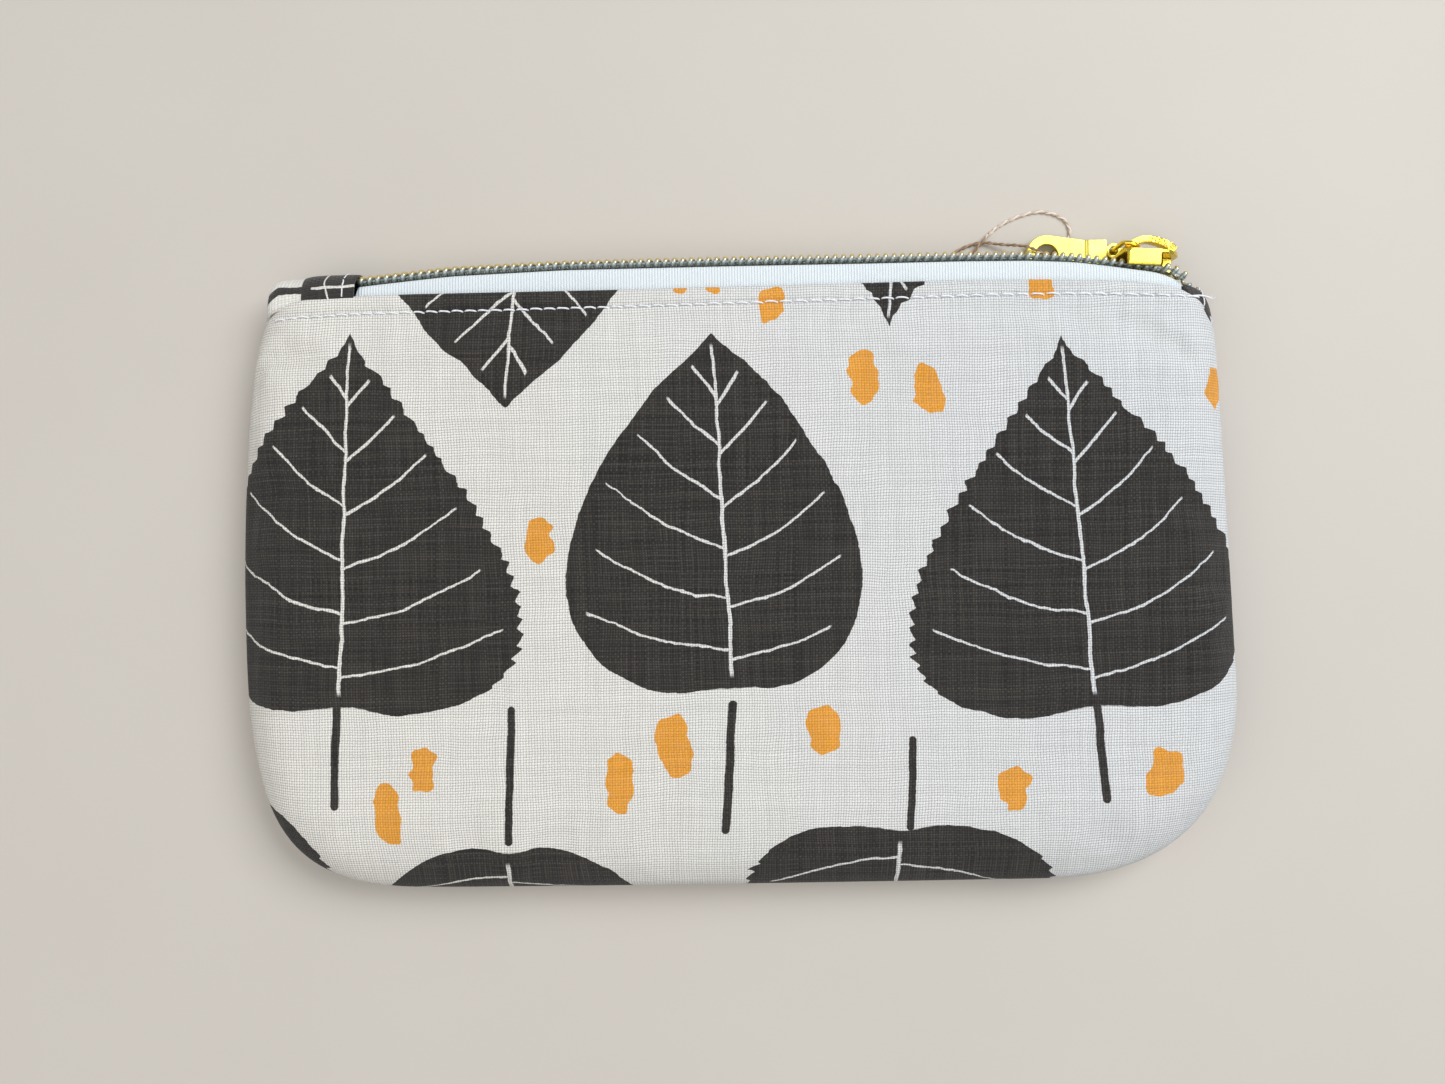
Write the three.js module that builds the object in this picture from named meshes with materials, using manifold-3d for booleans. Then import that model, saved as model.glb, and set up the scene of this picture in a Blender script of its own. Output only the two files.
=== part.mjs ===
// A flat, lined zip pouch lying on its back. Millimetres, +Z up, zip along the +Y edge.
// The origin is on the surface that the pouch lies on, below the middle of the pouch.
import * as THREE from 'three';
import { mergeVertices } from 'three/addons/utils/BufferGeometryUtils.js';
import Module from 'manifold-3d';

const wasm = await Module();
wasm.setup();

// ---- Driving dimensions ----
const MID = 6; // height of the side seam and of the zip's middle plane
const SEAM_GAP = 0.9; // between the edges of the front and back layers
const EDGE_ROUND = 9; // how far in from the seam the pouch reaches its full thickness
const OUTER = { inset: 0, half: 6, wall: 0.9 };
const INTERFACING = { inset: 1.2, half: 4.8, wall: 0.6, topY: 36.5 };
const LINING = { inset: 2.1, half: 3.9, wall: 0.6, topY: 45.9 };
const BEYOND = 80; // the layers are drawn past the mouth to here, then cut off

// The mouth: where the outer fabric folds back along the zip, left to right.
const FOLD = [
  [-95, 46.0], [-80, 46.6], [-66, 47.2], [-20, 47.4], [40, 48.4], [56, 48.3], [71, 47.5],
  [78, 46.8], [81, 45.6], [84, 42.8], [95, 36],
];

// The zip chain: its line, a slight bow, and the curl down into the right tab.
const ZIP_Y = 51.4;
const BOW = 0.5;
const BOW_MIDDLE = 3;
const BOW_HALF_LENGTH = 70;
const DIP_START = 71.6;
const DIP_SLOPE = 0.061;
const CURL_START = 78.2;
const CURL = 0.42;
const CHAIN_LEFT = -66.3;
const CHAIN_RIGHT = 80.6;
const PITCH = 1.5;
const COIL_THICK = 1.8;
const COIL_OUTER = 2.9; // from the middle plane to the outside of a coil
const COIL_BAR = 1.3; // from the middle plane to the root of the turns
const TURN_REACH = 0.55; // how far a turn's head passes the middle plane
const TURN_ROOT = 0.3; // half a turn's width where it leaves the bar
const TURN_TIP = 0.2;
const SPREAD = 1.5; // how far each coil moves aside to pass the slider's wedge
const SPREAD_START = 74.5;
const SPREAD_LENGTH = 1.9;
const TAPE_THICK = 0.45;
const TAPE_TOP = -1.2; // the face that carries the coil, from the coil's middle
const TAPE_SLIT = 1.2; // half the gap between the two tapes
const TAPE_LEDGE = 4.68; // from the middle plane to the tape's outer face
const TAPE_DEEP = -13.2;
const TAPE_UNDER_TAB = -4.4;
const TAPE_RIGHT = 79.4;
const TAPE_HIDDEN_RIGHT = 75.4; // the part below the outer fabric stops short of the side
const STEP_STRAIGHT = 5 * PITCH;
const STEP_CURL = PITCH / 2;
const CURL_FROM = 71;

// The slider, about its own centre: u along the chain, n outwards, z across.
const SLIDER_X = 73.85;
const SLIDER_Y = 51.65;
const SLIDER_YAW = THREE.MathUtils.degToRad(-3.5);
const PLATE = { rear: -5.2, front: 5.15, low: 1.3, high: 2.0 };
const FLANGE = { rear: -5.2, front: 1.1, low: -0.5, wide: 4.4, inside: 3.5 };
const BASE = { low: -3.2, high: -2.45, wide: 3.7 };
const WEDGE = { rear: 2.7, front: 4.3, half: 0.62 };
const ARCH = { n: 0.16, radius: 4.54, bar: 1.2, wide: 1.9, from: 18, to: 162 };

// The link: an oblong wire ring round the arch, hanging down to the pull.
const LINK = { u: -3.3, n: 3.35, half: 1.4, wire: 0.45, bottom: 0.55, top: 8.0, turn: 165 };

// The pull, flat above the surface, with its ring to the left.
const PULL_Y = 54.8;
const PULL = { ringX: 57.3, ringR: 3.8, holeR: 2.13, neckX: 64.9, headX: 68.3, headHalf: 2.75 };
const PULL_Z = [1.0, 2.1];
const HEAD_Z = [0.85, 2.25];
const EYE_R = 1.42;
const EYE_HOLE_R = 0.8;
const EYE_REACH = 1.23; // from the link's middle to the eye, where the wire starts to turn

// Fabric tabs over the zip's ends: [x, Y of the crest, half height] along each tab.
const TAB_WALL = 0.24; // as a share of the crest's reach
const TAB_GAP = 0.3;
const LEFT_TAB = [[-81, 49.0, 3.6], [-78.5, 50.7, 4.6], [-74, 51.4, 5.6], [-66.6, 51.6, 6]];
const RIGHT_TAB = [[80.9, 48.6, 4.6], [82.2, 47.1, 4.2], [83.4, 45.4, 3.6]];
const TAB_STITCH_LEFT = -68.6;
const TAB_STITCH_RIGHT = 82.2;

// Threads
const THREAD = 0.45;
const GROOVE = 0.9;
const TOPSTITCH_BELOW_FOLD = 3.3;
const TOPSTITCH_FROM = -78;
const TOPSTITCH_TO = 77;
const SEAM_THREAD_HIGH = 0.3;

// The tag string: up through the pull's ring, both ends led back below the chain.
const STRING_R = 0.25;
const STRING = [
  [33.4, 53.2, 0.4], [36.5, 53.6, 0.28], [39.4, 54.9, 0.28], [41.6, 56.6, 0.28], [45.4, 57.8, 0.5],
  [49.6, 57.2, 1.3], [52.6, 56.6, 2.6], [54.2, 56.1, 2.9], [55.8, 55.5, 2.5], [57.0, 55.2, 1.5],
  [58.1, 55.4, 0.6], [59.6, 56.3, 0.28], [61.3, 57.6, 0.28], [62.2, 59.2, 0.28],
  [61.6, 61.4, 0.28], [59.6, 62.8, 0.28], [56.6, 63.4, 0.28], [53.4, 62.8, 0.28],
  [50.2, 61.5, 0.28], [47.8, 59.9, 0.28], [45.6, 57.6, 1.05], [43.2, 55.0, 0.4],
  [40.4, 53.4, 0.28], [37.0, 52.4, 0.28], [33.4, 52.1, 0.4],
];
const KNOT = { x: 31.6, y: 52.65, z: 0.9, r: 0.85 };

// ---- Colours and finishes ----
const material = (color, roughness, metalness = 0) =>
  new THREE.MeshStandardMaterial({ color, roughness, metalness });
const LOOK = {
  canvas: material('#d6cfc2', 0.85),
  interfacing: material('#f1efe9', 0.95),
  lining: material('#e9e4da', 0.85),
  tape: material('#dce6ec', 0.7),
  coil: material('#a89a68', 0.35, 0.5),
  gold: material('#e8c860', 0.22, 1),
  tab: material('#35302b', 0.85),
  thread: material('#f2f1ee', 0.6),
  string: material('#cfc0a8', 0.8),
};

// ---- Solids: joining, cutting and moving ----
function solid(geometry) {
  const bare = geometry.clone();
  bare.deleteAttribute('normal');
  bare.deleteAttribute('uv');
  const merged = mergeVertices(bare, 1e-4);
  const vertProperties = new Float32Array(merged.attributes.position.array);
  const triVerts = new Uint32Array(merged.index.array);
  return new wasm.Manifold(new wasm.Mesh({ numProp: 3, vertProperties, triVerts }));
}

function geometryOf(manifold) {
  const { vertProperties, triVerts, numProp } = manifold.getMesh();
  const geometry = new THREE.BufferGeometry();
  const positions = new Float32Array((vertProperties.length / numProp) * 3);
  for (let i = 0; i < positions.length / 3; i += 1) {
    for (let k = 0; k < 3; k += 1) positions[3 * i + k] = vertProperties[numProp * i + k];
  }
  geometry.setAttribute('position', new THREE.BufferAttribute(positions, 3));
  geometry.setIndex(new THREE.BufferAttribute(new Uint32Array(triVerts), 1));
  return geometry;
}

function moved(geometry, move) {
  const position = geometry.attributes.position;
  for (let i = 0; i < position.count; i += 1) {
    const [x, y, z] = move(position.getX(i), position.getY(i), position.getZ(i));
    position.setXYZ(i, x, y, z);
  }
  return geometry;
}

const box = (low, high) =>
  new THREE.BoxGeometry(high[0] - low[0], high[1] - low[1], high[2] - low[2])
    .translate((low[0] + high[0]) / 2, (low[1] + high[1]) / 2, (low[2] + high[2]) / 2);

const shapeOf = (points) => new THREE.Shape(points.map(([a, b]) => new THREE.Vector2(a, b)));

const smooth = (t) => {
  const k = THREE.MathUtils.clamp(t, 0, 1);
  return k * k * (3 - 2 * k);
};

// A table of [x, a, b, ...] read at any x, in straight lines between its rows.
function between(rows, x, column = 1) {
  const last = rows.length - 1;
  const i = Math.max(0, Math.min(last - 1, rows.findIndex((row) => row[0] > x) - 1));
  const at = x >= rows[last][0] ? last - 1 : i;
  const t = (x - rows[at][0]) / (rows[at + 1][0] - rows[at][0]);
  return THREE.MathUtils.lerp(rows[at][column], rows[at + 1][column], THREE.MathUtils.clamp(t, 0, 1));
}

// ---- The outline and the shells ----
function pouchOutline() {
  const path = new THREE.Path();
  path.moveTo(-79, BEYOND);
  path.lineTo(-79, 60);
  path.lineTo(-80.6, 52);
  path.bezierCurveTo(-82, 48, -85.6, 47, -86.2, 40);
  path.bezierCurveTo(-87.2, 26, -88.6, 10, -88.5, -6);
  path.bezierCurveTo(-88.4, -22, -88.4, -31, -84.9, -41.7);
  path.bezierCurveTo(-80.5, -54, -71, -57, -58, -57.4);
  path.bezierCurveTo(-30, -57.9, 30, -57.9, 55, -57.8);
  path.bezierCurveTo(69, -57.6, 79.5, -52.5, 84.6, -42.4);
  path.bezierCurveTo(88.6, -34, 88.8, -26, 88.2, -18);
  path.bezierCurveTo(87.4, 5, 86.5, 22, 85.6, 38);
  path.bezierCurveTo(85, 44, 82.4, 47, 81, 52);
  path.lineTo(79, 60);
  path.lineTo(79, BEYOND);
  return path.getPoints(4);
}

// A pillow of the pouch's outline, moved in by inset, half thick each way from the seam.
function pillow(inset, half) {
  const round = EDGE_ROUND - inset;
  const geometry = new THREE.ExtrudeGeometry(new THREE.Shape(pouchOutline()), {
    depth: SEAM_GAP,
    bevelThickness: half - SEAM_GAP / 2,
    bevelSize: round,
    bevelOffset: -EDGE_ROUND,
    bevelSegments: 4,
    curveSegments: 1,
  });
  return solid(geometry.translate(0, 0, MID - SEAM_GAP / 2));
}

const foldCut = () => {
  const points = [...FOLD, [95, BEYOND + 5], [-95, BEYOND + 5]];
  return solid(new THREE.ExtrudeGeometry(shapeOf(points), { depth: 20, bevelEnabled: false })
    .translate(0, 0, MID - 10));
};

function shellPair({ inset, half, wall, topY }) {
  const shell = pillow(inset, half).subtract(pillow(inset + wall, half - wall));
  const cut = topY === undefined ? foldCut() : solid(box([-95, topY, -5], [95, BEYOND + 5, 20]));
  const open = shell.subtract(cut);
  const front = open.intersect(solid(box([-95, -70, MID + SEAM_GAP / 2], [95, 95, 20])));
  const back = open.intersect(solid(box([-95, -70, -5], [95, 95, MID - SEAM_GAP / 2])));
  return { front, back };
}

// ---- The zip ----
const dip = (x) => DIP_SLOPE * Math.max(0, x - DIP_START)
  + CURL * Math.max(0, x - CURL_START) ** 1.5;
const chainY = (x) => ZIP_Y - dip(x)
  + BOW * Math.max(0, 1 - Math.abs((x - BOW_MIDDLE) / BOW_HALF_LENGTH) ** 4);
const spread = (x) => SPREAD * smooth((x - SPREAD_START) / SPREAD_LENGTH);

// side is 1 for the front row and -1 for the back row; z is from the middle plane.
const along = (side, aside = 0) => (x, y, z) =>
  [x, y + chainY(x), MID + side * (z + aside * spread(x))];

// One row of the coil: a bar with a head at each turn, which meets the other row's heads.
function coil(side) {
  const edge = [[CHAIN_LEFT, COIL_BAR]];
  for (let x = CHAIN_LEFT + (side > 0 ? 0.5 : 1) * PITCH; x < CHAIN_RIGHT - 0.8; x += PITCH) {
    edge.push([x - TURN_ROOT, COIL_BAR], [x - TURN_TIP, -TURN_REACH]);
    edge.push([x + TURN_TIP, -TURN_REACH], [x + TURN_ROOT, COIL_BAR]);
  }
  edge.push([CHAIN_RIGHT, COIL_BAR]);
  const half = COIL_THICK / 2;
  const section = [[-half, 0], [half, 0], [half, 1], [-half, 1]];
  return geometryOf(swept(section, edge.length - 1, side, (n, high, i) =>
    along(side, 1)(edge[i][0], n, high > 0 ? COIL_OUTER : edge[i][1])));
}

// Turns every triangle over, for a geometry that has been mirrored.
function flipped(geometry) {
  const source = geometry.index ? geometry.toNonIndexed() : geometry;
  const position = source.attributes.position;
  for (let i = 0; i < position.count; i += 3) {
    const swap = [position.getX(i), position.getY(i), position.getZ(i)];
    position.setXYZ(i, position.getX(i + 1), position.getY(i + 1), position.getZ(i + 1));
    position.setXYZ(i + 1, ...swap);
  }
  return source;
}

// Where a strip along the chain has its steps: close together where the chain curls.
function stations(x0, x1) {
  const places = [];
  const step = (x) => (x + STEP_STRAIGHT < CURL_FROM ? STEP_STRAIGHT : STEP_CURL);
  for (let x = x0; x < x1 - 0.3; x += step(x)) places.push(x);
  return [...places, x1];
}

// A section pushed through equal steps, with each step's outline put in its place.
function swept(section, steps, side, place) {
  const geometry = new THREE.ExtrudeGeometry(shapeOf(section), {
    depth: steps, steps, bevelEnabled: false,
  });
  const placed = moved(geometry, (a, b, d) => place(a, b, Math.round(d)));
  return solid(side > 0 ? placed : flipped(placed));
}

// A section in (n, z) pushed along X, then laid along the chain.
function strip(section, x0, x1, side) {
  const places = stations(x0, x1);
  return swept(section, places.length - 1, side, (n, z, i) => along(side)(places[i], n, z));
}

function tape(side) {
  const low = TAPE_TOP - TAPE_THICK;
  const inner = TAPE_LEDGE - TAPE_THICK;
  const crest = [[TAPE_TOP, TAPE_SLIT], [TAPE_TOP, TAPE_LEDGE - 1.0], [TAPE_TOP - 0.3, TAPE_LEDGE - 0.3],
    [TAPE_TOP - 1.0, TAPE_LEDGE], [-3.4, TAPE_LEDGE], [-3.4, inner], [TAPE_TOP - 1.1, inner],
    [low, TAPE_LEDGE - 1.1], [low, TAPE_SLIT]].reverse();
  const flat = (from) => [[from, inner], [from, TAPE_LEDGE], [TAPE_DEEP, TAPE_LEDGE], [TAPE_DEEP, inner]];
  return strip(crest, CHAIN_LEFT, TAPE_RIGHT, side)
    .add(strip(flat(-3.1), CHAIN_LEFT, TAPE_HIDDEN_RIGHT, side))
    .add(strip(flat(TAPE_UNDER_TAB), -TAPE_HIDDEN_RIGHT, CHAIN_LEFT + 1, side));
}

// ---- The slider ----
function sliderBody() {
  const plate = new THREE.Shape();
  plate.moveTo(PLATE.rear, -3.0);
  plate.quadraticCurveTo(PLATE.rear, -FLANGE.wide, -3.9, -FLANGE.wide);
  plate.lineTo(1.1, -FLANGE.wide);
  plate.quadraticCurveTo(4.2, -4.1, PLATE.front, -1.3);
  plate.lineTo(PLATE.front, 1.3);
  plate.quadraticCurveTo(4.2, 4.1, 1.1, FLANGE.wide);
  plate.lineTo(-3.9, FLANGE.wide);
  plate.quadraticCurveTo(PLATE.rear, FLANGE.wide, PLATE.rear, 3.0);
  const slab = (low, high, share) => solid(moved(
    new THREE.ExtrudeGeometry(plate, { depth: high - low, bevelEnabled: false, curveSegments: 4 }),
    (u, z, d) => [u, high - d, z * share],
  ));
  let body = slab(PLATE.low, PLATE.high, 1);
  for (const side of [-1, 1]) {
    const zs = [side * FLANGE.inside, side * FLANGE.wide].sort((a, b) => a - b);
    body = body.add(solid(box(
      [FLANGE.rear + 0.5, FLANGE.low, zs[0]], [FLANGE.front, PLATE.low + 0.1, zs[1]],
    )));
  }
  body = body.add(slab(BASE.low, BASE.high, BASE.wide / FLANGE.wide));
  body = body.add(solid(box(
    [WEDGE.rear, BASE.high - 0.1, -WEDGE.half], [WEDGE.front, PLATE.low + 0.1, WEDGE.half],
  )));
  const arch = new THREE.Shape();
  const [from, to] = [ARCH.from, ARCH.to].map(THREE.MathUtils.degToRad);
  arch.absarc(0, ARCH.n, ARCH.radius + ARCH.bar / 2, from, to, false);
  arch.absarc(0, ARCH.n, ARCH.radius - ARCH.bar / 2, to, from, true);
  body = body.add(solid(new THREE.ExtrudeGeometry(arch, {
    depth: ARCH.wide, bevelEnabled: false, curveSegments: 14,
  }).translate(0, 0, -ARCH.wide / 2)));
  return onSlider(geometryOf(body), MID);
}

// From the slider's own frame to the pouch's.
const onSlider = (geometry, z) => geometry.rotateZ(SLIDER_YAW).translate(SLIDER_X, SLIDER_Y, z);

function sliderPoint(u, n) {
  const point = new THREE.Vector2(u, n).rotateAround(new THREE.Vector2(), SLIDER_YAW);
  return [SLIDER_X + point.x, SLIDER_Y + point.y];
}

function pullLink() {
  const rings = 20;
  const torus = new THREE.TorusGeometry(LINK.half, LINK.wire, 8, rings);
  const stretch = (LINK.top - LINK.bottom) / 2 - LINK.half;
  const middle = (LINK.top + LINK.bottom) / 2;
  const oblong = moved(torus.rotateZ(Math.PI / rings), (x, y, z) =>
    [x, y + Math.sign(y) * stretch, z]);
  const upright = oblong.rotateX(Math.PI / 2);
  const turned = upright.rotateZ(THREE.MathUtils.degToRad(LINK.turn - 180));
  const [x, y] = sliderPoint(LINK.u, LINK.n);
  return turned.translate(x, y, middle);
}

// The outer strand of the link, where the pull's eye hangs.
function eyePoint() {
  const turn = THREE.MathUtils.degToRad(LINK.turn);
  const [x, y] = sliderPoint(LINK.u, LINK.n);
  return [x + EYE_REACH * Math.cos(turn), y + EYE_REACH * Math.sin(turn)];
}

function pullTab() {
  const { ringX, ringR, holeR, neckX, headX, headHalf } = PULL;
  const blade = new THREE.Shape();
  blade.moveTo(neckX + 0.2, PULL_Y - headHalf);
  blade.lineTo(neckX + 0.2, PULL_Y + headHalf);
  blade.lineTo(neckX - 0.4, PULL_Y + headHalf);
  blade.absarc(ringX, PULL_Y, ringR, Math.PI * 0.46, Math.PI * 1.54, false);
  blade.lineTo(neckX - 0.4, PULL_Y - headHalf);
  const hole = new THREE.Path();
  hole.absarc(ringX, PULL_Y, holeR, 0, Math.PI * 2, true);
  blade.holes.push(hole);
  const [eyeX, eyeY] = eyePoint();
  const plate = new THREE.ExtrudeGeometry(blade, {
    depth: PULL_Z[1] - PULL_Z[0], bevelEnabled: false, curveSegments: 20,
  }).translate(0, 0, PULL_Z[0]);
  const head = box([neckX, PULL_Y - headHalf, HEAD_Z[0]], [headX, PULL_Y + headHalf, HEAD_Z[1]]);
  const round = (radius, low, high) =>
    new THREE.CylinderGeometry(radius, radius, high - low, 20).rotateX(Math.PI / 2)
      .translate(eyeX, eyeY, (low + high) / 2);
  return geometryOf(solid(plate).add(solid(head))
    .add(solid(round(EYE_R, PULL_Z[0], PULL_Z[1])))
    .subtract(solid(round(EYE_HOLE_R, -1, 4))));
}

// ---- Fabric tabs over the zip's ends ----
// A half round section between two shares of the tab's reach, laid over the mouth's edge.
function tabArch(rows, outerShare, innerShare, x0, x1, steps) {
  const section = new THREE.Shape();
  section.absellipse(0, 0, outerShare, outerShare, -Math.PI / 2, Math.PI / 2, false);
  section.absellipse(0, 0, innerShare, innerShare, Math.PI / 2, -Math.PI / 2, true);
  const geometry = new THREE.ExtrudeGeometry(section, {
    depth: x1 - x0, steps, bevelEnabled: false, curveSegments: 10,
  });
  return solid(moved(geometry, (reach, across, d) => {
    const x = x0 + d;
    const foot = between(FOLD, x) + TAB_GAP;
    return [x, foot + reach * (between(rows, x) - foot), MID + across * between(rows, x, 2)];
  }));
}

function tabAndStitch(rows, stitchX) {
  const x0 = rows[0][0];
  const x1 = rows[rows.length - 1][0];
  const groove = tabArch(rows, 1.1, 0.9, stitchX - GROOVE / 2, stitchX + GROOVE / 2, 1);
  const tab = tabArch(rows, 1, 1 - TAB_WALL, x0, x1, 6).subtract(groove);
  const stitch = tabArch(rows, 0.99, 0.93, stitchX - THREAD / 2, stitchX + THREAD / 2, 1);
  return { tab: geometryOf(tab), stitch: geometryOf(stitch) };
}

// ---- Threads ----
// A flat band of the given width along the topstitching line, between two depths.
function topstitchBand(width, low, high, from, to) {
  const steps = 24;
  const line = (shift) => Array.from({ length: steps + 1 }, (_, i) => {
    const x = THREE.MathUtils.lerp(from, to, i / steps);
    return [x, between(FOLD, x) - TOPSTITCH_BELOW_FOLD + shift];
  });
  const outline = [...line(-width / 2), ...line(width / 2).reverse()];
  return new THREE.ExtrudeGeometry(shapeOf(outline), { depth: high - low, bevelEnabled: false })
    .translate(0, 0, low);
}

const topGroove = (side) => {
  const [low, high] = side > 0 ? [2 * MID - 0.5, 2 * MID + 1] : [-1, 0.5];
  return solid(topstitchBand(GROOVE, low, high, TOPSTITCH_FROM - 0.4, TOPSTITCH_TO + 0.4));
};

const topThread = (side) => {
  const [low, high] = side > 0 ? [2 * MID - 0.3, 2 * MID] : [0, 0.3];
  return topstitchBand(THREAD, low, high, TOPSTITCH_FROM, TOPSTITCH_TO);
};

// The seam's thread, between the layers' edges, round the sides and the bottom.
function seamThread(inset, topY) {
  const slice = (by) => new THREE.ExtrudeGeometry(new THREE.Shape(pouchOutline()), {
    depth: SEAM_THREAD_HIGH, bevelThickness: 0.01, bevelSize: 0.01, bevelOffset: -by, bevelSegments: 1,
    curveSegments: 1,
  }).translate(0, 0, MID - SEAM_THREAD_HIGH / 2);
  const ring = solid(slice(inset)).subtract(solid(slice(inset + THREAD)));
  return geometryOf(ring.subtract(solid(box([-95, topY, -5], [95, BEYOND + 5, 20]))));
}

// ---- The tag string ----
function tagString() {
  const curve = new THREE.CatmullRomCurve3(STRING.map((p) => new THREE.Vector3(...p)));
  const section = new THREE.Shape();
  section.absarc(0, 0, STRING_R, 0, Math.PI * 2, false);
  return new THREE.ExtrudeGeometry(section, { extrudePath: curve, steps: 78, curveSegments: 4 });
}

// ---- The assembly ----
const group = new THREE.Group();

function addPiece(name, geometry, look) {
  const mesh = new THREE.Mesh(geometry, look);
  mesh.name = name;
  group.add(mesh);
}

const outer = shellPair(OUTER);
const interfacing = shellPair(INTERFACING);
const lining = shellPair(LINING);
addPiece('outer_front', geometryOf(outer.front.subtract(topGroove(1))), LOOK.canvas);
addPiece('outer_back', geometryOf(outer.back.subtract(topGroove(-1))), LOOK.canvas);
for (const half of ['front', 'back']) {
  addPiece(`interfacing_${half}`, geometryOf(interfacing[half]), LOOK.interfacing);
  addPiece(`lining_${half}`, geometryOf(lining[half]), LOOK.lining);
  const side = half === 'front' ? 1 : -1;
  addPiece(`zip_tape_${half}`, geometryOf(tape(side)), LOOK.tape);
  addPiece(`zip_coil_${half}`, coil(side), LOOK.coil);
  addPiece(`topstitch_${half}`, topThread(side), LOOK.thread);
}
addPiece('slider_body', sliderBody(), LOOK.gold);
addPiece('pull_link', pullLink(), LOOK.gold);
addPiece('pull_tab', pullTab(), LOOK.gold);

for (const [end, rows, stitchX] of [
  ['left', LEFT_TAB, TAB_STITCH_LEFT], ['right', RIGHT_TAB, TAB_STITCH_RIGHT],
]) {
  const { tab, stitch } = tabAndStitch(rows, stitchX);
  addPiece(`zip_end_tab_${end}`, tab, LOOK.tab);
  addPiece(`tab_stitch_${end}`, stitch, LOOK.thread);
}

addPiece('outer_seam_thread', seamThread(0.25, 44), LOOK.thread);
addPiece('lining_seam_thread', seamThread(2.2, 44), LOOK.thread);
addPiece('tag_string', tagString(), LOOK.string);
addPiece('tag_string_knot',
  new THREE.SphereGeometry(KNOT.r, 10, 8).translate(KNOT.x, KNOT.y, KNOT.z), LOOK.string);

export default group;
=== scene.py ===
"""The looks of a zippered pouch that lies flat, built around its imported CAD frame.

Lengths in this file are in millimetres, in the CAD's own frame, until a mesh is made.
"""

import functools
import math
import random

import bmesh
import bpy
import numpy as np
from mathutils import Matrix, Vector


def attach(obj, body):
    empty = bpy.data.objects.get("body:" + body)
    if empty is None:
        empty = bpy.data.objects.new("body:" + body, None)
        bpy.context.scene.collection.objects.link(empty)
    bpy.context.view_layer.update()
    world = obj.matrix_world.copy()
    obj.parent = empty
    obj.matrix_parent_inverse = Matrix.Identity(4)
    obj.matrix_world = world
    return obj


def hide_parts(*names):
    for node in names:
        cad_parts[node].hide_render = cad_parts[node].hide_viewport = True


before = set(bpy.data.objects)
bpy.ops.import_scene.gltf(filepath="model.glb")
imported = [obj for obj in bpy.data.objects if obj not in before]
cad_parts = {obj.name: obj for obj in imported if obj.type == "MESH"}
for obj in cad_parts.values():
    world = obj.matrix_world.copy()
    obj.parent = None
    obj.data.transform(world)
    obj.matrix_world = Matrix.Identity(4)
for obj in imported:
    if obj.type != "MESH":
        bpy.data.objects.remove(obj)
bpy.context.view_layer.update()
MM = 0.001
SIDES = {"front": 1, "back": -1}  # which way each half lies from the seam's plane
MID = 6.0  # the height of the seam's plane, where the two panels meet

# ---------------------------------------------------------------- camera, lights, floor
CAMERA_AT = (-3.0, 3.4, 200.5)
CAMERA_ROLL = -1.0
LENS = 26.98


def linked(name, data):
    """A new object, put in the scene."""
    made = bpy.data.objects.new(name, data)
    bpy.context.collection.objects.link(made)
    return made


def make_camera():
    data = bpy.data.cameras.new("camera")
    data.sensor_width = 36
    data.lens = LENS
    data.clip_start = 0.01
    camera = linked("camera", data)
    camera.location = [c * MM for c in CAMERA_AT]
    camera.rotation_euler = (0, 0, math.radians(CAMERA_ROLL))
    bpy.context.scene.camera = camera


def area_light(name, place, size, power, color):
    data = bpy.data.lights.new(name, "AREA")
    data.shape = "RECTANGLE"
    data.size, data.size_y = size
    data.energy = power
    data.color = color
    lamp = linked(name, data)
    lamp.location = place
    lamp.rotation_euler = (-Vector(place)).to_track_quat("-Z", "Y").to_euler()


def make_lights():
    area_light("window", (0.55, 0.45, 0.75), (0.7, 0.5), 9.6, (0.94, 0.97, 1.0))
    area_light("fill", (-0.7, -0.1, 0.7), (0.8, 0.8), 2.2, (1.0, 0.95, 0.88))
    area_light("top", (0.0, -0.25, 0.9), (0.9, 0.9), 2.8, (1.0, 1.0, 1.0))
    world = bpy.data.worlds.new("studio")
    world.use_nodes = True
    background = world.node_tree.nodes["Background"]
    background.inputs["Color"].default_value = (0.93, 0.96, 1.0, 1)
    background.inputs["Strength"].default_value = 0.37
    bpy.context.scene.world = world


# ---------------------------------------------------------------- numbers in node trees
class Wire:
    """A number, vector or colour in a node tree, with arithmetic."""

    def __init__(self, tree, socket):
        self.tree, self.socket = tree, socket

    def op(self, kind, *others):
        return built(self.tree, "Math", dict(enumerate((self, *others))), operation=kind)

    def __rsub__(self, other):
        return (self * -1) + other

    def ramp(self, low, high, start=0.0, end=1.0):
        """Goes smoothly from start to end while this goes from low to high."""
        ends = {"From Min": low, "From Max": high, "To Min": start, "To Max": end}
        return built(self.tree, "MapRange", {"Value": self, **ends}, "Result",
                     interpolation_type="SMOOTHSTEP")


OPERATIONS = {
    "__add__": "ADD", "__radd__": "ADD", "__sub__": "SUBTRACT", "__mul__": "MULTIPLY",
    "__rmul__": "MULTIPLY", "__truediv__": "DIVIDE", "__pow__": "POWER", "abs": "ABSOLUTE",
    "at_least": "MAXIMUM", "at_most": "MINIMUM", "floor": "FLOOR", "round": "ROUND",
    "sine": "SINE", "above": "GREATER_THAN", "below": "LESS_THAN", "exp": "EXPONENT",
    "pingpong": "PINGPONG",
}
for method, kind in OPERATIONS.items():
    setattr(Wire, method, functools.partialmethod(Wire.op, kind))


def plug(value, socket):
    if isinstance(value, Wire):
        value.tree.links.new(value.socket, socket)
    else:
        socket.default_value = value


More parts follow.
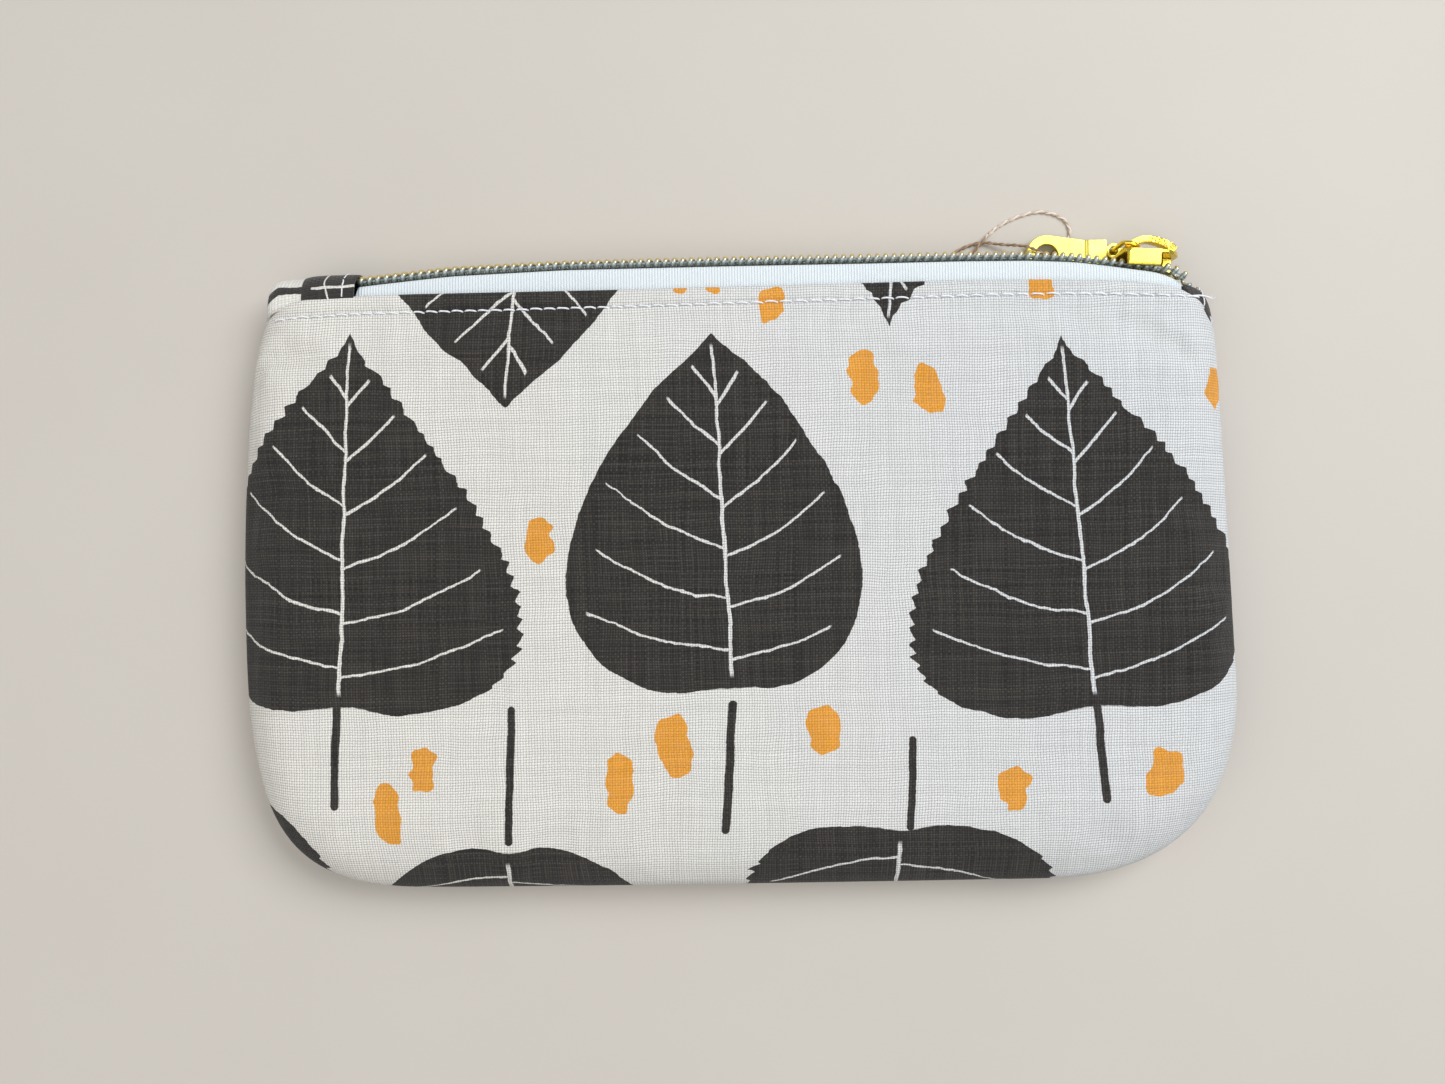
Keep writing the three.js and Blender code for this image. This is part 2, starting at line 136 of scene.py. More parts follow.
def built(tree, kind, inputs, output=0, **settings):
    """Adds a node with these settings and inputs, and gives one of its outputs."""
    node = tree.nodes.new("ShaderNode" + kind)
    for name, value in settings.items():
        setattr(node, name, value)
    for name, value in inputs.items():
        plug(value, node.inputs[name])
    return Wire(tree, node.outputs[output])


def split(vector):
    x = built(vector.tree, "SeparateXYZ", {0: vector})
    return [Wire(vector.tree, s) for s in x.socket.node.outputs]


def joined(x, y, z=0.0):
    return built(x.tree, "CombineXYZ", {0: x, 1: y, 2: z})


def noise(vector, scale, detail=2.0, rough=0.5):
    inputs = {"Vector": vector, "Scale": scale, "Detail": detail, "Roughness": rough}
    return built(vector.tree, "TexNoise", inputs, "Fac")


def drift(x, y, seed, scale, detail=1.0):
    """Smooth noise about 0 over a plane, with another pattern for each seed."""
    return noise(joined(x, y, seed), scale, detail) - 0.5


def random_of(number):
    return built(number.tree, "TexWhiteNoise", {"W": number}, "Value", noise_dimensions="1D")


def mix(share, a, b):
    a, b = ((*c, 1) if isinstance(c, tuple) else c for c in (a, b))
    return built(share.tree, "Mix", {"Factor": share, "A": a, "B": b}, "Result",
                 data_type="RGBA")


def tinted(color, factor):
    """A colour times a number."""
    tree = (factor if isinstance(factor, Wire) else color).tree
    return built(tree, "VectorMath", {0: color, "Scale": factor}, operation="SCALE")


def bump(height, distance, strength=1.0):
    """distance is the height, in millimetres, of a step from 0 to 1."""
    inputs = {"Height": height, "Distance": distance * MM, "Strength": strength}
    return built(height.tree, "Bump", inputs, "Normal")


def new_material(name, **settings):
    material = bpy.data.materials.new(name)
    material.use_nodes = True
    for key, value in settings.items():
        shader_inputs(material)[key.replace("_", " ")].default_value = value
    return material, material.node_tree


def shader_inputs(material):
    return material.node_tree.nodes["Principled BSDF"].inputs


def finished(material, color, normal, rough=None):
    """Plugs what was worked out for a material into its shader."""
    inputs = shader_inputs(material)
    plug(color, inputs["Base Color"])
    plug(normal, inputs["Normal"])
    if rough is not None:
        plug(rough, inputs["Roughness"])
    return material


def place_mm(tree):
    """The point on the object, in millimetres."""
    return tinted(built(tree, "TexCoord", {}, "Object"), 1 / MM)


def attribute(tree, name):
    return built(tree, "Attribute", {}, "Vector", attribute_name=name)


# ---------------------------------------------------------------- cloth
THREAD_PITCH = 0.47
LINEN = (0.705, 0.68, 0.625)
# painted light: a cooler linen colour, a painted tint of the cool window light
LINEN_PAINTED_COOL_LIGHT = (0.635, 0.64, 0.64)
INK = (0.0215, 0.0178, 0.0147)
MUSTARD = (0.70, 0.30, 0.035)
FLECK = (0.30, 0.22, 0.14)


def plain_weave(x, y, pitch):
    """A plain weave: its height, 0 to 1, a random number for the warp thread and one for the
    weft thread, and 1 where the warp thread is on top.
    """
    u, v = x / pitch, y / pitch
    warp, weft = u.floor(), v.floor()
    over = (warp + weft).pingpong(1.0)
    across_warp = ((u - warp) * math.pi).sine()
    across_weft = ((v - weft) * math.pi).sine()
    top = over * across_warp * (0.45 + across_weft * 0.55)
    other = (1 - over) * across_weft * (0.45 + across_warp * 0.55)
    return top + other, random_of(warp + 0.5), random_of(weft + 90.5), over


def cloth_height_and_tone(x, y, pitch):
    """The weave's height, and how light or dark its slubby threads are, about 0."""
    wander = drift(x, y, 0.0, 0.055, 2.0)
    x_off, y_off = x + wander * 2.2, y + wander * 1.6
    height, warp_tone, weft_tone, over = plain_weave(x_off, y_off, pitch)
    slub_x = drift(x * 0.08, y * 1.9, 0.0, 1.0, 2.0)
    slub_y = drift(x * 1.9, y * 0.08, 7.0, 1.0, 2.0)
    tone = (warp_tone - 0.5) * over + (weft_tone - 0.5) * (1 - over)
    return height, tone * 0.5 + slub_x + slub_y


VEIN_LEAN, VEIN_FAN, VEIN_STEP = 0.30, 2.5, 0.142


def leaf_group():
    """One printed leaf. x runs across it and y from its base to its tip, in millimetres."""
    tree = bpy.data.node_groups.new("printed leaf", "ShaderNodeTree")
    for name in ("x", "y", "length", "half width", "skew", "teeth", "seed"):
        tree.interface.new_socket(name, in_out="INPUT", socket_type="NodeSocketFloat")
    for name in ("ink", "vein"):
        tree.interface.new_socket(name, in_out="OUTPUT", socket_type="NodeSocketFloat")
    inputs = tree.nodes.new("NodeGroupInput")
    x, y, length, wide, skew, teeth, seed = [Wire(tree, s) for s in inputs.outputs[:7]]
    rough = drift(x, y, seed, 0.16, 2.0)
    fine = drift(x, y, seed, 0.7)
    side = x.above(0.0)
    s = (x + rough * 0.9).abs()
    lobe = (s * s * -0.02).exp() * 2.0  # the base is drawn in at the stem
    up = y + rough * 1.2 - lobe * 0.6
    to_tip = (1 - up / length).at_least(0.0)
    to_base = (up / length).at_least(0.0)
    pointed = to_tip.ramp(0.0, 0.14, 0.58, 1.0)
    body = to_tip ** (teeth * 0.29 + 0.86) * to_base ** (0.42 - teeth * 0.05)
    body = body * pointed * wide * (teeth * 0.07 + 2.26) * (1 + skew - skew * side * 2)
    step = to_tip * length * 0.41 + rough * 1.6 + side * 0.37 + seed
    number = step.floor()
    part = step - number
    tooth = part.ramp(0.0, 0.32) - part
    size = random_of(number + side * 31.0) + 1.05
    fade = to_tip.ramp(0.02, 0.10) * to_tip.ramp(0.98, 0.84)
    edge = body + (tooth * size - 0.45) * fade * teeth + fine * 0.4
    inside = (edge - s).ramp(-0.07, 0.07) * to_base.ramp(0.0, 0.004) * to_tip.ramp(0.0, 0.004)
    # Side veins leave the rib nearly level at the base and steeply at the tip.
    across = (s / length) * (s / length * 1.15 + 0.66)
    level = up / length - across * VEIN_LEAN
    root = (1 + across * level * (4 * VEIN_FAN)).at_least(0.0) ** 0.5
    place = level * 2 / (1 + root)
    phase = (place + fine * 0.006) / VEIN_STEP - 0.6 - (1 - side) * 0.17
    number = phase.round()
    lean = place * place * VEIN_FAN + VEIN_LEAN
    gap = across * place * (2 * VEIN_FAN) + 1
    off = (phase - number).abs() * VEIN_STEP * length * gap / (lean * lean + 1) ** 0.5
    luck = random_of(number * 3.1 + side * 17.0 + seed)
    reach = body * (0.80 + luck * 0.1 - place.ramp(0.55, 0.8) * 0.3)
    side_vein = (0.20 + fine * 0.12 - off).ramp(-0.06, 0.06) * (reach - s).ramp(-0.3, 0.2)
    side_vein = side_vein * number.above(-0.5) * number.below(5.5)
    rib = (0.35 - to_base * 0.12 + fine * 0.14 - s).ramp(-0.06, 0.06)
    rib = rib * to_base.ramp(0.03, 0.05) * to_base.ramp(0.975, 0.955)
    outputs = tree.nodes.new("NodeGroupOutput")
    plug(inside, outputs.inputs["ink"])
    plug(side_vein.at_least(rib), outputs.inputs["vein"])
    return tree


# Each leaf: base x, base y, turn in degrees, length, half width, skew, teeth, seed.
LEAVES = [
    (-69.9, -25.7, -2.4, 65.5, 31.0, 0.0, 1.0, 1.3),
    (-1.6, -23.3, 2.4, 61.9, 25.4, 0.083, 0.0, 2.7),
    (61.3, -27.7, 4.4, 65.0, 30.8, 0.0, 1.0, 4.1),
    (-35.6, 87.9, 175.7, 59.8, 26.2, -0.10, 0.0, 5.6),
    (28.6, 100.6, 178.2, 59.4, 26.5, 0.0, 1.0, 7.2),
    (-41.3, -49.0, 179.0, 61.4, 24.2, 0.0, 0.0, 8.8),
    (27.2, -45.9, 178.5, 62.3, 27.2, 0.03, 1.0, 9.5),
    (-96.3, -39.8, 171.1, 63.3, 24.5, 0.0, 1.0, 3.4),
]
# Each stem: from, to, half width.
STEMS = [
    ((-70.3, -24.4), (-71.1, -41.6), 0.72),
    ((-1.7, -24.8), (-3.1, -47.1), 0.75),
    ((61.2, -25.2), (62.8, -42.4), 0.72),
    ((-40.0, -25.2), (-41.2, -48.4), 0.68),
    ((29.4, -31.5), (28.8, -46.8), 0.66),
]
# Each spot: x, y, half width, half height, turn in degrees.
SPOTS = [
    (-34.8, 4.3, 2.6, 3.9, 0),
    (21.9, 31.3, 2.4, 5.0, 4),
    (33.1, 29.2, 2.6, 4.3, 12),
    (6.2, 44.6, 2.6, 3.3, 0),
    (-55.5, -35.2, 2.2, 4.1, -4),
    (-61.9, -43.3, 2.4, 5.2, 6),
    (-21.4, -38.2, 2.3, 5.4, 0),
    (-12.1, -31.8, 2.6, 5.4, 3),
    (14.1, -29.6, 2.6, 4.3, 15),
    (46.6, -39.8, 2.6, 3.8, 0),
    (73.0, -38.1, 2.9, 4.2, -8),
    (84.4, 29.4, 2.4, 3.4, 0),
    (53.2, 47.6, 2.5, 2.6, 0),
    (-9.1, 48.9, 1.3, 2.2, 0),
    (-4.2, 49.0, 1.3, 2.4, 0),
    (-70.5, 60.0, 2.6, 4.4, 20),
    (64.0, 62.0, 2.4, 4.2, -10),
]
SPOT_SQUARE = 2.6  # 2 would make the spots ellipses
# How far the cloth of the back panel was cut from that of the front, so it shows other leaves.
BACK_SHIFT = (-33.0, 11.0)


def turned(x, y, cx, cy, degrees):
    """A point from a centre, in axes that are turned anticlockwise."""
    c, s = math.cos(math.radians(degrees)), math.sin(math.radians(degrees))
    dx, dy = x - cx, y - cy
    return dx * c + dy * s, dy * c - dx * s


def line_mask(x, y, start, end, half, soft=0.07):
    """1 near the straight line between two points."""
    (ax, ay), (bx, by) = start, end
    dx, dy = bx - ax, by - ay
    reach = dx * dx + dy * dy
    along = ((x - ax) * (dx / reach) + (y - ay) * (dy / reach)).at_least(0.0).at_most(1.0)
    off_x, off_y = x - ax - along * dx, y - ay - along * dy
    off = (off_x * off_x + off_y * off_y) ** 0.5
    return (half - off).ramp(-soft, soft)


def covered(masks):
    """Where any of the masks is."""
    return functools.reduce(Wire.at_least, masks)


def printed(x, y, group):
    """The ink's cover, 0 to 1, in the print's dark and mustard inks."""
    fray = drift(x, y, 55.0, 1.5)
    px = x + drift(x, y, 0.0, 0.11) * 0.9 + fray * 0.22
    py = y + drift(x, y, 31.0, 0.11) * 0.9 + fray * 0.22
    dark = []
    for cx, cy, turn, *shape in LEAVES:
        inputs = dict(enumerate((*turned(px, py, cx, cy, turn), *shape)))
        ink = built(x.tree, "Group", inputs, "ink", node_tree=group)
        vein = Wire(x.tree, ink.socket.node.outputs["vein"])
        dark.append(ink * (1 - vein))
    for start, end, half in STEMS:
        dark.append(line_mask(px, py, start, end, half, 0.08))
    sx = x + drift(x, y, 12.0, 0.28) * 3.4 + fray * 0.2
    sy = y + drift(x, y, 77.0, 0.28) * 3.4 + fray * 0.2
    spots = []
    for cx, cy, wide, high, turn in SPOTS:
        across, up = turned(sx, sy, cx, cy, turn)
        across, up = (across / wide).abs(), (up / high).abs()
        off = (across**SPOT_SQUARE + up**SPOT_SQUARE) ** (1 / SPOT_SQUARE)
        spots.append((1 - off).ramp(-0.02, 0.02))
    return covered(dark), covered(spots)


def canvas_material(group):
    material, tree = new_material("printed canvas", Sheen_Weight=0.08, Sheen_Roughness=0.5,
                                  Specular_IOR_Level=0.18)
    x, y, _ = split(attribute(tree, "flat"))
    height, tone = cloth_height_and_tone(x, y, THREAD_PITCH)
    dark, spots = printed(x, y, group)
    worn = drift(x, y, 3.0, 0.5, 3.0)
    # painted light: the linen is mixed from warm on the left to cooler on the right and top, a
    # painted tint of the warm fill and the cool window light
    ground = mix((x + y * 0.3).ramp(-70.0, 75.0), LINEN, LINEN_PAINTED_COOL_LIGHT)
    speck = noise(joined(x, y * 1.7, 9.0), 0.75, 3.0, 0.7)
    ground = mix(speck.ramp(0.70, 0.76) * 0.5, ground, FLECK)
    # painted shade: the colour is darkened in the weave's hollows between threads, on the linen and
    # on the mustard print
    gap = height.ramp(0.0, 0.55, 0.42, 1.01)
    ground = tinted(ground, (1 + tone * 0.16 + worn * 0.05) * gap)
    orange = tinted(MUSTARD, (1 + tone * 0.3) * height.ramp(0, 0.6, 0.7, 1))
    ink = tinted(INK, (0.86 + tone + worn * 0.25).at_least(0.3))
    # painted highlight: on the thread tops the ink is lightened toward the linen's colour
    thread_top_highlight = height.ramp(0.5, 1.0) * (tone + 0.45).at_least(0.0) * 0.075
    ink = mix(thread_top_highlight, ink, LINEN)
    color = mix(spots * (0.97 - worn * 0.1), ground, orange)
    color = mix(dark * (0.985 + worn * 0.02), color, ink)
    rough = dark.ramp(0.0, 1.0, 0.9, 0.8)
    return finished(material, color, bump(height + tone * 0.25, 0.11, 0.85), rough)


def plain_cloth(name, color, pitch, flat, height_mm):
    """flat says whether the weave follows the cloth as it was cut, or its place."""
    material, tree = new_material(name, Roughness=0.9, Sheen_Weight=0.15)
    x, y, _ = split(attribute(tree, "flat") if flat else place_mm(tree))
    height, tone = cloth_height_and_tone(x, y, pitch)
    shade = (1 + tone * 0.15) * height.ramp(0.0, 0.5, 0.72, 1.0)
    return finished(material, tinted(color, shade), bump(height, height_mm))


# ---------------------------------------------------------------- meshes
def add_object(name, data, material, body="pouch", replaces=()):
    piece = linked(name, data)
    data.materials.clear()
    data.materials.append(material)
    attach(piece, body)
    if replaces:
        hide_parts(*replaces)
    return piece


def mesh_of(name, points, faces, flat=None):
    """flat gives each point's place on the flat cloth, or along the wire or string."""
    mesh = bpy.data.meshes.new(name)
    mesh.from_pydata((np.asarray(points, float).reshape(-1, 3) * MM).tolist(), [], faces)
    mesh.update()
    mesh.shade_smooth()
    if flat is not None:
        data = mesh.attributes.new("flat", "FLOAT_VECTOR", "POINT")
        data.data.foreach_set("vector", np.asarray(flat, np.float32).ravel())
    return mesh


def with_z(plan, z):
    """Plan points with a third coordinate."""
    return np.concatenate([plan, np.broadcast_to(z, plan.shape[:2])[..., None]], 2)


def unit(vectors):
    """Each vector at length 1."""
    return vectors / np.linalg.norm(vectors, axis=-1, keepdims=True)


def run(line):
    """How far along a polyline each of its points is."""
    return np.concatenate([[0], np.cumsum(np.linalg.norm(np.diff(line, axis=0), axis=1))])


def carried(tangent, up):
    """A direction carried along a curve, square to it, without twist."""
    ups = []
    for t in tangent:
        up = unit(up - t * (up @ t))
        ups.append(up)
    return np.array(ups)


def across_of(way):
    """Plan directions turned a quarter turn anticlockwise, at length 1."""
    return unit(np.stack([-way[:, 1], way[:, 0]], 1))


def eased(t):
    """0 to 1, with level ends."""
    t = np.clip(t, 0, 1)
    return t * t * (3 - 2 * t)


def bell(distance, width):
    """1 at no distance, falling to 0 on both sides."""
    return np.exp(-((distance / width) ** 2))


def catmull(a, b, c, d, t):
    """The Catmull-Rom curve from b to c, whose neighbours are a and d."""
    return b + 0.5 * t * (c - a + t * (2 * a - 5 * b + 4 * c - d + t * (3 * (b - c) + d - a)))


def grid_faces(rows, columns, close_columns=False, flip=False):
    faces = []
    for i in range(rows - 1):
        for j in range(columns if close_columns else columns - 1):
            k = (j + 1) % columns
            quad = [i * columns + j, i * columns + k, (i + 1) * columns + k, (i + 1) * columns + j]
            faces.append(quad[::-1] if flip else quad)
    return faces


def swept(path, section, ups=None):
    """Points and faces of a closed tube. section(i) gives its outline: (across, up)."""
    path = np.asarray(path, float)
    tangent = unit(np.gradient(path, axis=0))
    if ups is None:
        ups = carried(tangent, np.cross(tangent[0], [0.3, 0.9, 0.1]))
    ups = unit(ups - tangent * np.sum(ups * tangent, 1)[:, None])
    sides = np.cross(tangent, ups)
    rings = []
    for i in range(len(path)):
        across, up = section(i)
        rings.append(path[i] + np.outer(across, sides[i]) + np.outer(up, ups[i]))
    faces = grid_faces(len(path), len(rings[0]), close_columns=True, flip=True)
    return np.concatenate(rings), faces + end_faces(len(path), len(rings[0]))


def end_faces(rows, around):
    return [list(range(around)), [(rows - 1) * around + j for j in reversed(range(around))]]


def circle(around):
    """Angles, evenly round a circle."""
    return np.linspace(0, 2 * math.pi, around, endpoint=False)


def round_section(radius, around):
    angles = circle(around)
    return lambda i: (radius * np.cos(angles), radius * np.sin(angles))


def many(parts):
    """Joins (points, faces) pairs into one."""
    points, faces, start = [], [], 0
    for p, f in parts:
        points.append(p)
        faces += [[start + k for k in face] for face in f]
        start += len(p)
    return np.concatenate(points), faces


# ---------------------------------------------------------------- the pouch's shape
EDGE_ROUND = 8.0
HALF = 5.95
FOLD = [
    (-84.0, 43.1), (-83.3, 44.2), (-82.3, 44.9), (-81.0, 45.4), (-76, 46.3), (-66, 46.8),
    (-57, 47.0), (-20, 47.15), (10, 47.45), (40, 47.8), (56, 47.65), (69, 47.15), (76, 46.2),
    (79.4, 45.1), (81.3, 43.8), (83.0, 42.1), (84.4, 40.2),
]
OUTLINE = [
    (-80.2, 52), (-81.4, 48), (-82.9, 46.6), (-84.7, 41),
    (-86.5, 35.4), (-88.5, 16), (-88.5, -6),
    (-88.4, -22), (-88.4, -31), (-84.9, -41.7),
    (-80.5, -54), (-71, -57), (-58, -57.4),
    (-30, -57.9), (30, -57.9), (55, -57.8),
    (69, -57.6), (79.5, -52.5), (84.6, -42.4),
    (88.6, -34), (88.8, -26), (88.2, -18),
    (87.4, 5), (86.5, 22), (85.6, 38),
    (85, 44), (82.4, 47), (81, 52),
]


def bezier_points(controls, each=40):
    t = np.linspace(0, 1, each, endpoint=False)[:, None]
    spans = []
    for i in range(0, len(controls) - 3, 3):
        a, b, c, d = (np.array(p, float) for p in controls[i : i + 4])
        spans.append(
            a * (1 - t) ** 3 + 3 * b * t * (1 - t) ** 2 + 3 * c * t * t * (1 - t) + d * t**3
        )
    return np.concatenate([*spans, [controls[-1]]])


def softened(line, reach):
    """A polyline with its corners smoothed over about reach points, its ends kept."""
    kernel = np.exp(-0.5 * (np.arange(-3 * reach, 3 * reach + 1) / reach) ** 2)
    kernel /= kernel.sum()
    pad = 3 * reach
    wide = np.concatenate([
        2 * line[0] - line[pad:0:-1], line, 2 * line[-1] - line[-2 : -pad - 2 : -1]
    ])
    return np.stack([np.convolve(wide[:, k], kernel, "valid") for k in range(line.shape[1])], 1)


def resampled(line, count):
    """A polyline at equal steps along its length."""
    along = run(line)
    places = np.linspace(0, along[-1], count)
    return np.stack([np.interp(places, along, line[:, k]) for k in range(line.shape[1])], 1)


outline = softened(resampled(bezier_points(OUTLINE), 900), 4)
fold = softened(resampled(np.array(FOLD, float), 700), 5)


def nearest(line, point):
    return int(np.argmin(np.linalg.norm(line - np.array(point), axis=1)))


CORNERS = {
    "left": nearest(outline, FOLD[0]),
    "low_left": nearest(outline, (-79.6, -50.3)),
    "low_right": nearest(outline, (79.2, -50.3)),
    "right": nearest(outline, FOLD[-1]),
}


def at(line, share):
    """Points of a polyline at shares of its length."""
    along = run(line)
    return np.stack([np.interp(share, along / along[-1], line[:, k]) for k in range(2)], -1)


def patch(u, v):
    """The pouch's plan at shares u across and v up: (rows, columns, 2)."""
    side_l = at(outline[CORNERS["left"] : CORNERS["low_left"] + 1][::-1], v)
    side_r = at(outline[CORNERS["low_right"] : CORNERS["right"] + 1], v)
    bottom = at(outline[CORNERS["low_left"] : CORNERS["low_right"] + 1], u)
    top_line = fold.copy()
    top_line[0], top_line[-1] = outline[CORNERS["left"]], outline[CORNERS["right"]]
    top = at(top_line, u)
    U, V = u[None, :, None], v[:, None, None]
    ruled = (1 - V) * bottom[None] + V * top[None] + (1 - U) * side_l[:, None] + U * side_r[:, None]
    corners = (
        (1 - U) * (1 - V) * bottom[0] + U * (1 - V) * bottom[-1]
        + (1 - U) * V * top[0] + U * V * top[-1]
    )
    return ruled - corners


def depth_and_outward(plan):
    """How far inside the outline each point is, and the way out, by the nearest outline point."""
    flat = plan.reshape(-1, 2)
    depth, way = np.empty(len(flat)), np.empty((len(flat), 2))
    normal = -across_of(np.gradient(outline, axis=0))
    for start in range(0, len(flat), 4000):
        part = flat[start : start + 4000]
        far = ((part[:, None] - outline[None]) ** 2).sum(2)
        near = far.argmin(1)
        across = ((outline[near] - part) * normal[near]).sum(1)
        at_end = (near == 0) | (near == len(outline) - 1)
        straight = np.sqrt(far[np.arange(len(part)), near])
        depth[start : start + 4000] = np.where(at_end, straight, np.maximum(across, 0))
        way[start : start + 4000] = normal[near]
    return depth.reshape(plan.shape[:2]), way.reshape(plan.shape)


def roll(depth, half):
    """The height above the seam's plane, this far in from the seam."""
    share = np.clip(1 - depth / EDGE_ROUND, 0, 1)
    return half * np.sqrt(np.clip(1 - share**2.3, 0, 1))


def unrolled(depth):
    """How much longer the cloth is than its plan, between here and where it is flat."""
    d = np.linspace(0, EDGE_ROUND, 400)
    z = roll(d, HALF)
    length = run(np.stack([d, z], 1))
    extra = (length[-1] - length) - (EDGE_ROUND - d)
    return np.interp(depth, d, extra)


EDGE_STEPS = [
    0, 0.0022, 0.009, 0.025, 0.056, 0.11, 0.2, 0.36, 0.6, 0.9, 1.3, 1.8, 2.4, 3.1, 3.9, 4.8, 5.8,
    6.9, 8.1, 9.5,
]
TOP_STEPS = [
    0, 0.3, 0.6, 0.9, 1.2, 1.5, 1.75, 2.0, 2.2, 2.4, 2.6, 2.8, 3.0, 3.2, 3.4, 3.6, 3.8, 4.1, 4.5,
    5.0, 5.7, 6.6, 7.7, 9.0, 10.5,
]
PLAN_WIDE, PLAN_HIGH = 170.0, 104.0


def shares(low_steps, high_steps, length, step):
    """Shares of a length: close together at both ends and even in between."""
    low = np.array(low_steps, float)
    high = length - np.array(high_steps, float)[::-1]
    middle = np.arange(low[-1] + step, high[0] - step / 2, step)
    return np.concatenate([low, middle, high]) / length


def fine_shares(fine):
    across = shares(EDGE_STEPS, EDGE_STEPS, PLAN_WIDE, 0.42 if fine else 2.0)
    up = shares(EDGE_STEPS, TOP_STEPS, PLAN_HIGH, 1.5 if fine else 2.5)
    return across, up


# ---------------------------------------------------------------- cloth simulation
SIM_COLUMNS, SIM_ROWS = 67, 43
SIM_INSET = 0.35  # how much flatter than the pouch the shell starts
SIM_SCALE = 10.0  # the shell is simulated at this many times its size
SIM_FRAMES = 18
SIM_CAP = 1.1  # the furthest that the cloth may move, in millimetres
SIM_SETTINGS = {
    "quality": 8, "mass": 0.35, "tension_stiffness": 35, "compression_stiffness": 35,
    "shear_stiffness": 12, "bending_stiffness": 3.0, "use_pressure": True,
    "uniform_pressure_force": 3.2, "shrink_min": -0.012, "vertex_group_mass": "held",
    "pin_stiffness": 2.0,
}


def simulated_puff():
    """Lets the sewn shell swell and crease between its seams, with Blender's cloth.

    Gives shares across, shares up, and how far each point of the front and back moves.
    """
    u, v = np.linspace(0, 1, SIM_COLUMNS), np.linspace(0, 1, SIM_ROWS)
    plan = patch(u, v)
    depth, _ = depth_and_outward(plan)
    height = roll(depth, HALF - SIM_INSET)
    rows, columns = depth.shape
    front, back = with_z(plan, MID + height), with_z(plan, MID - height)
    number = np.arange(rows * columns).reshape(rows, columns)
    seam = np.zeros((rows, columns), bool)
    seam[0], seam[:, 0], seam[:, -1] = True, True, True
    back_number = np.where(seam, number, number + rows * columns)
    used = np.unique(np.concatenate([number.ravel(), back_number.ravel()]))
    index = {k: i for i, k in enumerate(used.tolist())}
    points = np.concatenate([front, back]).reshape(-1, 3)[used]
    faces = []
    for a, b, c, d in grid_faces(rows, columns):
        faces.append([index[k] for k in (a, b, c, d)])
        faces.append([index[k] for k in back_number.ravel()[[a, d, c, b]].tolist()])
    mesh = bpy.data.meshes.new("cloth being shaped")
    mesh.from_pydata((points * MM * SIM_SCALE).tolist(), [], faces)
    shell = linked("cloth being shaped", mesh)
    held = shell.vertex_groups.new(name="held")
    firm = [index[k] for k in number[-3:].ravel().tolist() + back_number[-3:].ravel().tolist()]
    held.add(sorted(set(firm)), 1.0, "REPLACE")
    sewn = [index[k] for k in number[seam].tolist()]
    held.add(sorted(set(sewn) - set(firm)), 0.35, "REPLACE")
    cloth = shell.modifiers.new("cloth", "CLOTH")
    for name, value in SIM_SETTINGS.items():
        setattr(cloth.settings, name, value)
    cloth.settings.effector_weights.gravity = 0
    cloth.collision_settings.use_collision = False
    scene = bpy.context.scene
    scene.frame_start, scene.frame_end = 1, SIM_FRAMES
    cloth.point_cache.frame_start, cloth.point_cache.frame_end = 1, SIM_FRAMES
    for step in range(1, SIM_FRAMES + 1):
        scene.frame_set(step)
    shaped = shell.evaluated_get(bpy.context.evaluated_depsgraph_get()).data
    after = np.array([p.co for p in shaped.vertices]) / (MM * SIM_SCALE)
    scene.frame_set(1)
    bpy.data.objects.remove(shell)
    bpy.data.meshes.remove(mesh)
    moved = after - points
    size = np.linalg.norm(moved, axis=1)[:, None]
    moved *= SIM_CAP * np.tanh(size / SIM_CAP) / np.maximum(size, 1e-9)
    pick = np.vectorize(index.get)
    return u, v, moved[pick(number)], moved[pick(back_number)]


def spread_over(field, u0, v0, u, v):
    """A field on a coarse grid of shares, read smoothly on a finer one."""

    def along(values, old, new):
        place = np.clip(np.interp(new, old, np.arange(len(old))), 0, len(old) - 1)
        i = np.clip(place.astype(int), 0, len(old) - 2)
        t = (place - i)[:, None, None]
        take = lambda k: values[np.clip(i + k, 0, len(old) - 1)]
        return catmull(take(-1), take(0), take(1), take(2), t)

    rows = along(field, v0, v)
    return along(rows.transpose(1, 0, 2), u0, u).transpose(1, 0, 2)


# ---------------------------------------------------------------- outer fabric, lining
def swelling(side, puff, u, v, depth):
    """How far the cloth moved, with Z counted outwards from the seam's plane."""
    if puff is None:
        return 0.0
    su, sv, front, back = puff
    move = spread_over(front if side > 0 else back, su, sv, u, v)
    move = move * [0.6, 0.6, side]
    return move * np.clip(depth / 2.5, 0, 1)[..., None] ** 0.7


def stitch_places(first, last, start_pitch, end_pitch, seed):
    """Needle holes along a row of stitches, by X."""
    draw = random.Random(seed)
    places, x = [first], first
    while x < last:
        share = (x - first) / (last - first)
        x += start_pitch + (end_pitch - start_pitch) * share + draw.uniform(-0.09, 0.09)
        places.append(x)
    return np.array(places)


STITCH_LINE = [
    (-84, 42.7), (-81.6, 43.3), (-78, 43.7), (-67, 44.15), (-57, 44.3), (-24, 44.6), (10, 45.1),
    (38, 45.5), (52, 45.65), (66, 45.4), (77, 44.9), (81, 44.9),
]
HOLES = stitch_places(-80.9, 80.3, 2.15, 2.8, 5)
CHANNEL_DEEP, CHANNEL_WIDE = 0.13, 0.5  # the hollow that the stitches lie in
DIMPLE_DEEP, DIMPLE_WIDE = 0.30, 0.42  # at each needle hole
GROOVE_DEEP, GROOVE_HIGH = 0.5, 0.45  # at the side seam
FOLD_ROLL = 0.62
OUTER_THICK = 0.45
# The seam allowance, turned in: how far in, and how high above the seam's plane.
TURNED_IN = [(0.9, 0.05), (2.0, 0.07)]


def stitch_y(x):
    line = np.array(STITCH_LINE)
    return np.interp(x, line[:, 0], line[:, 1])


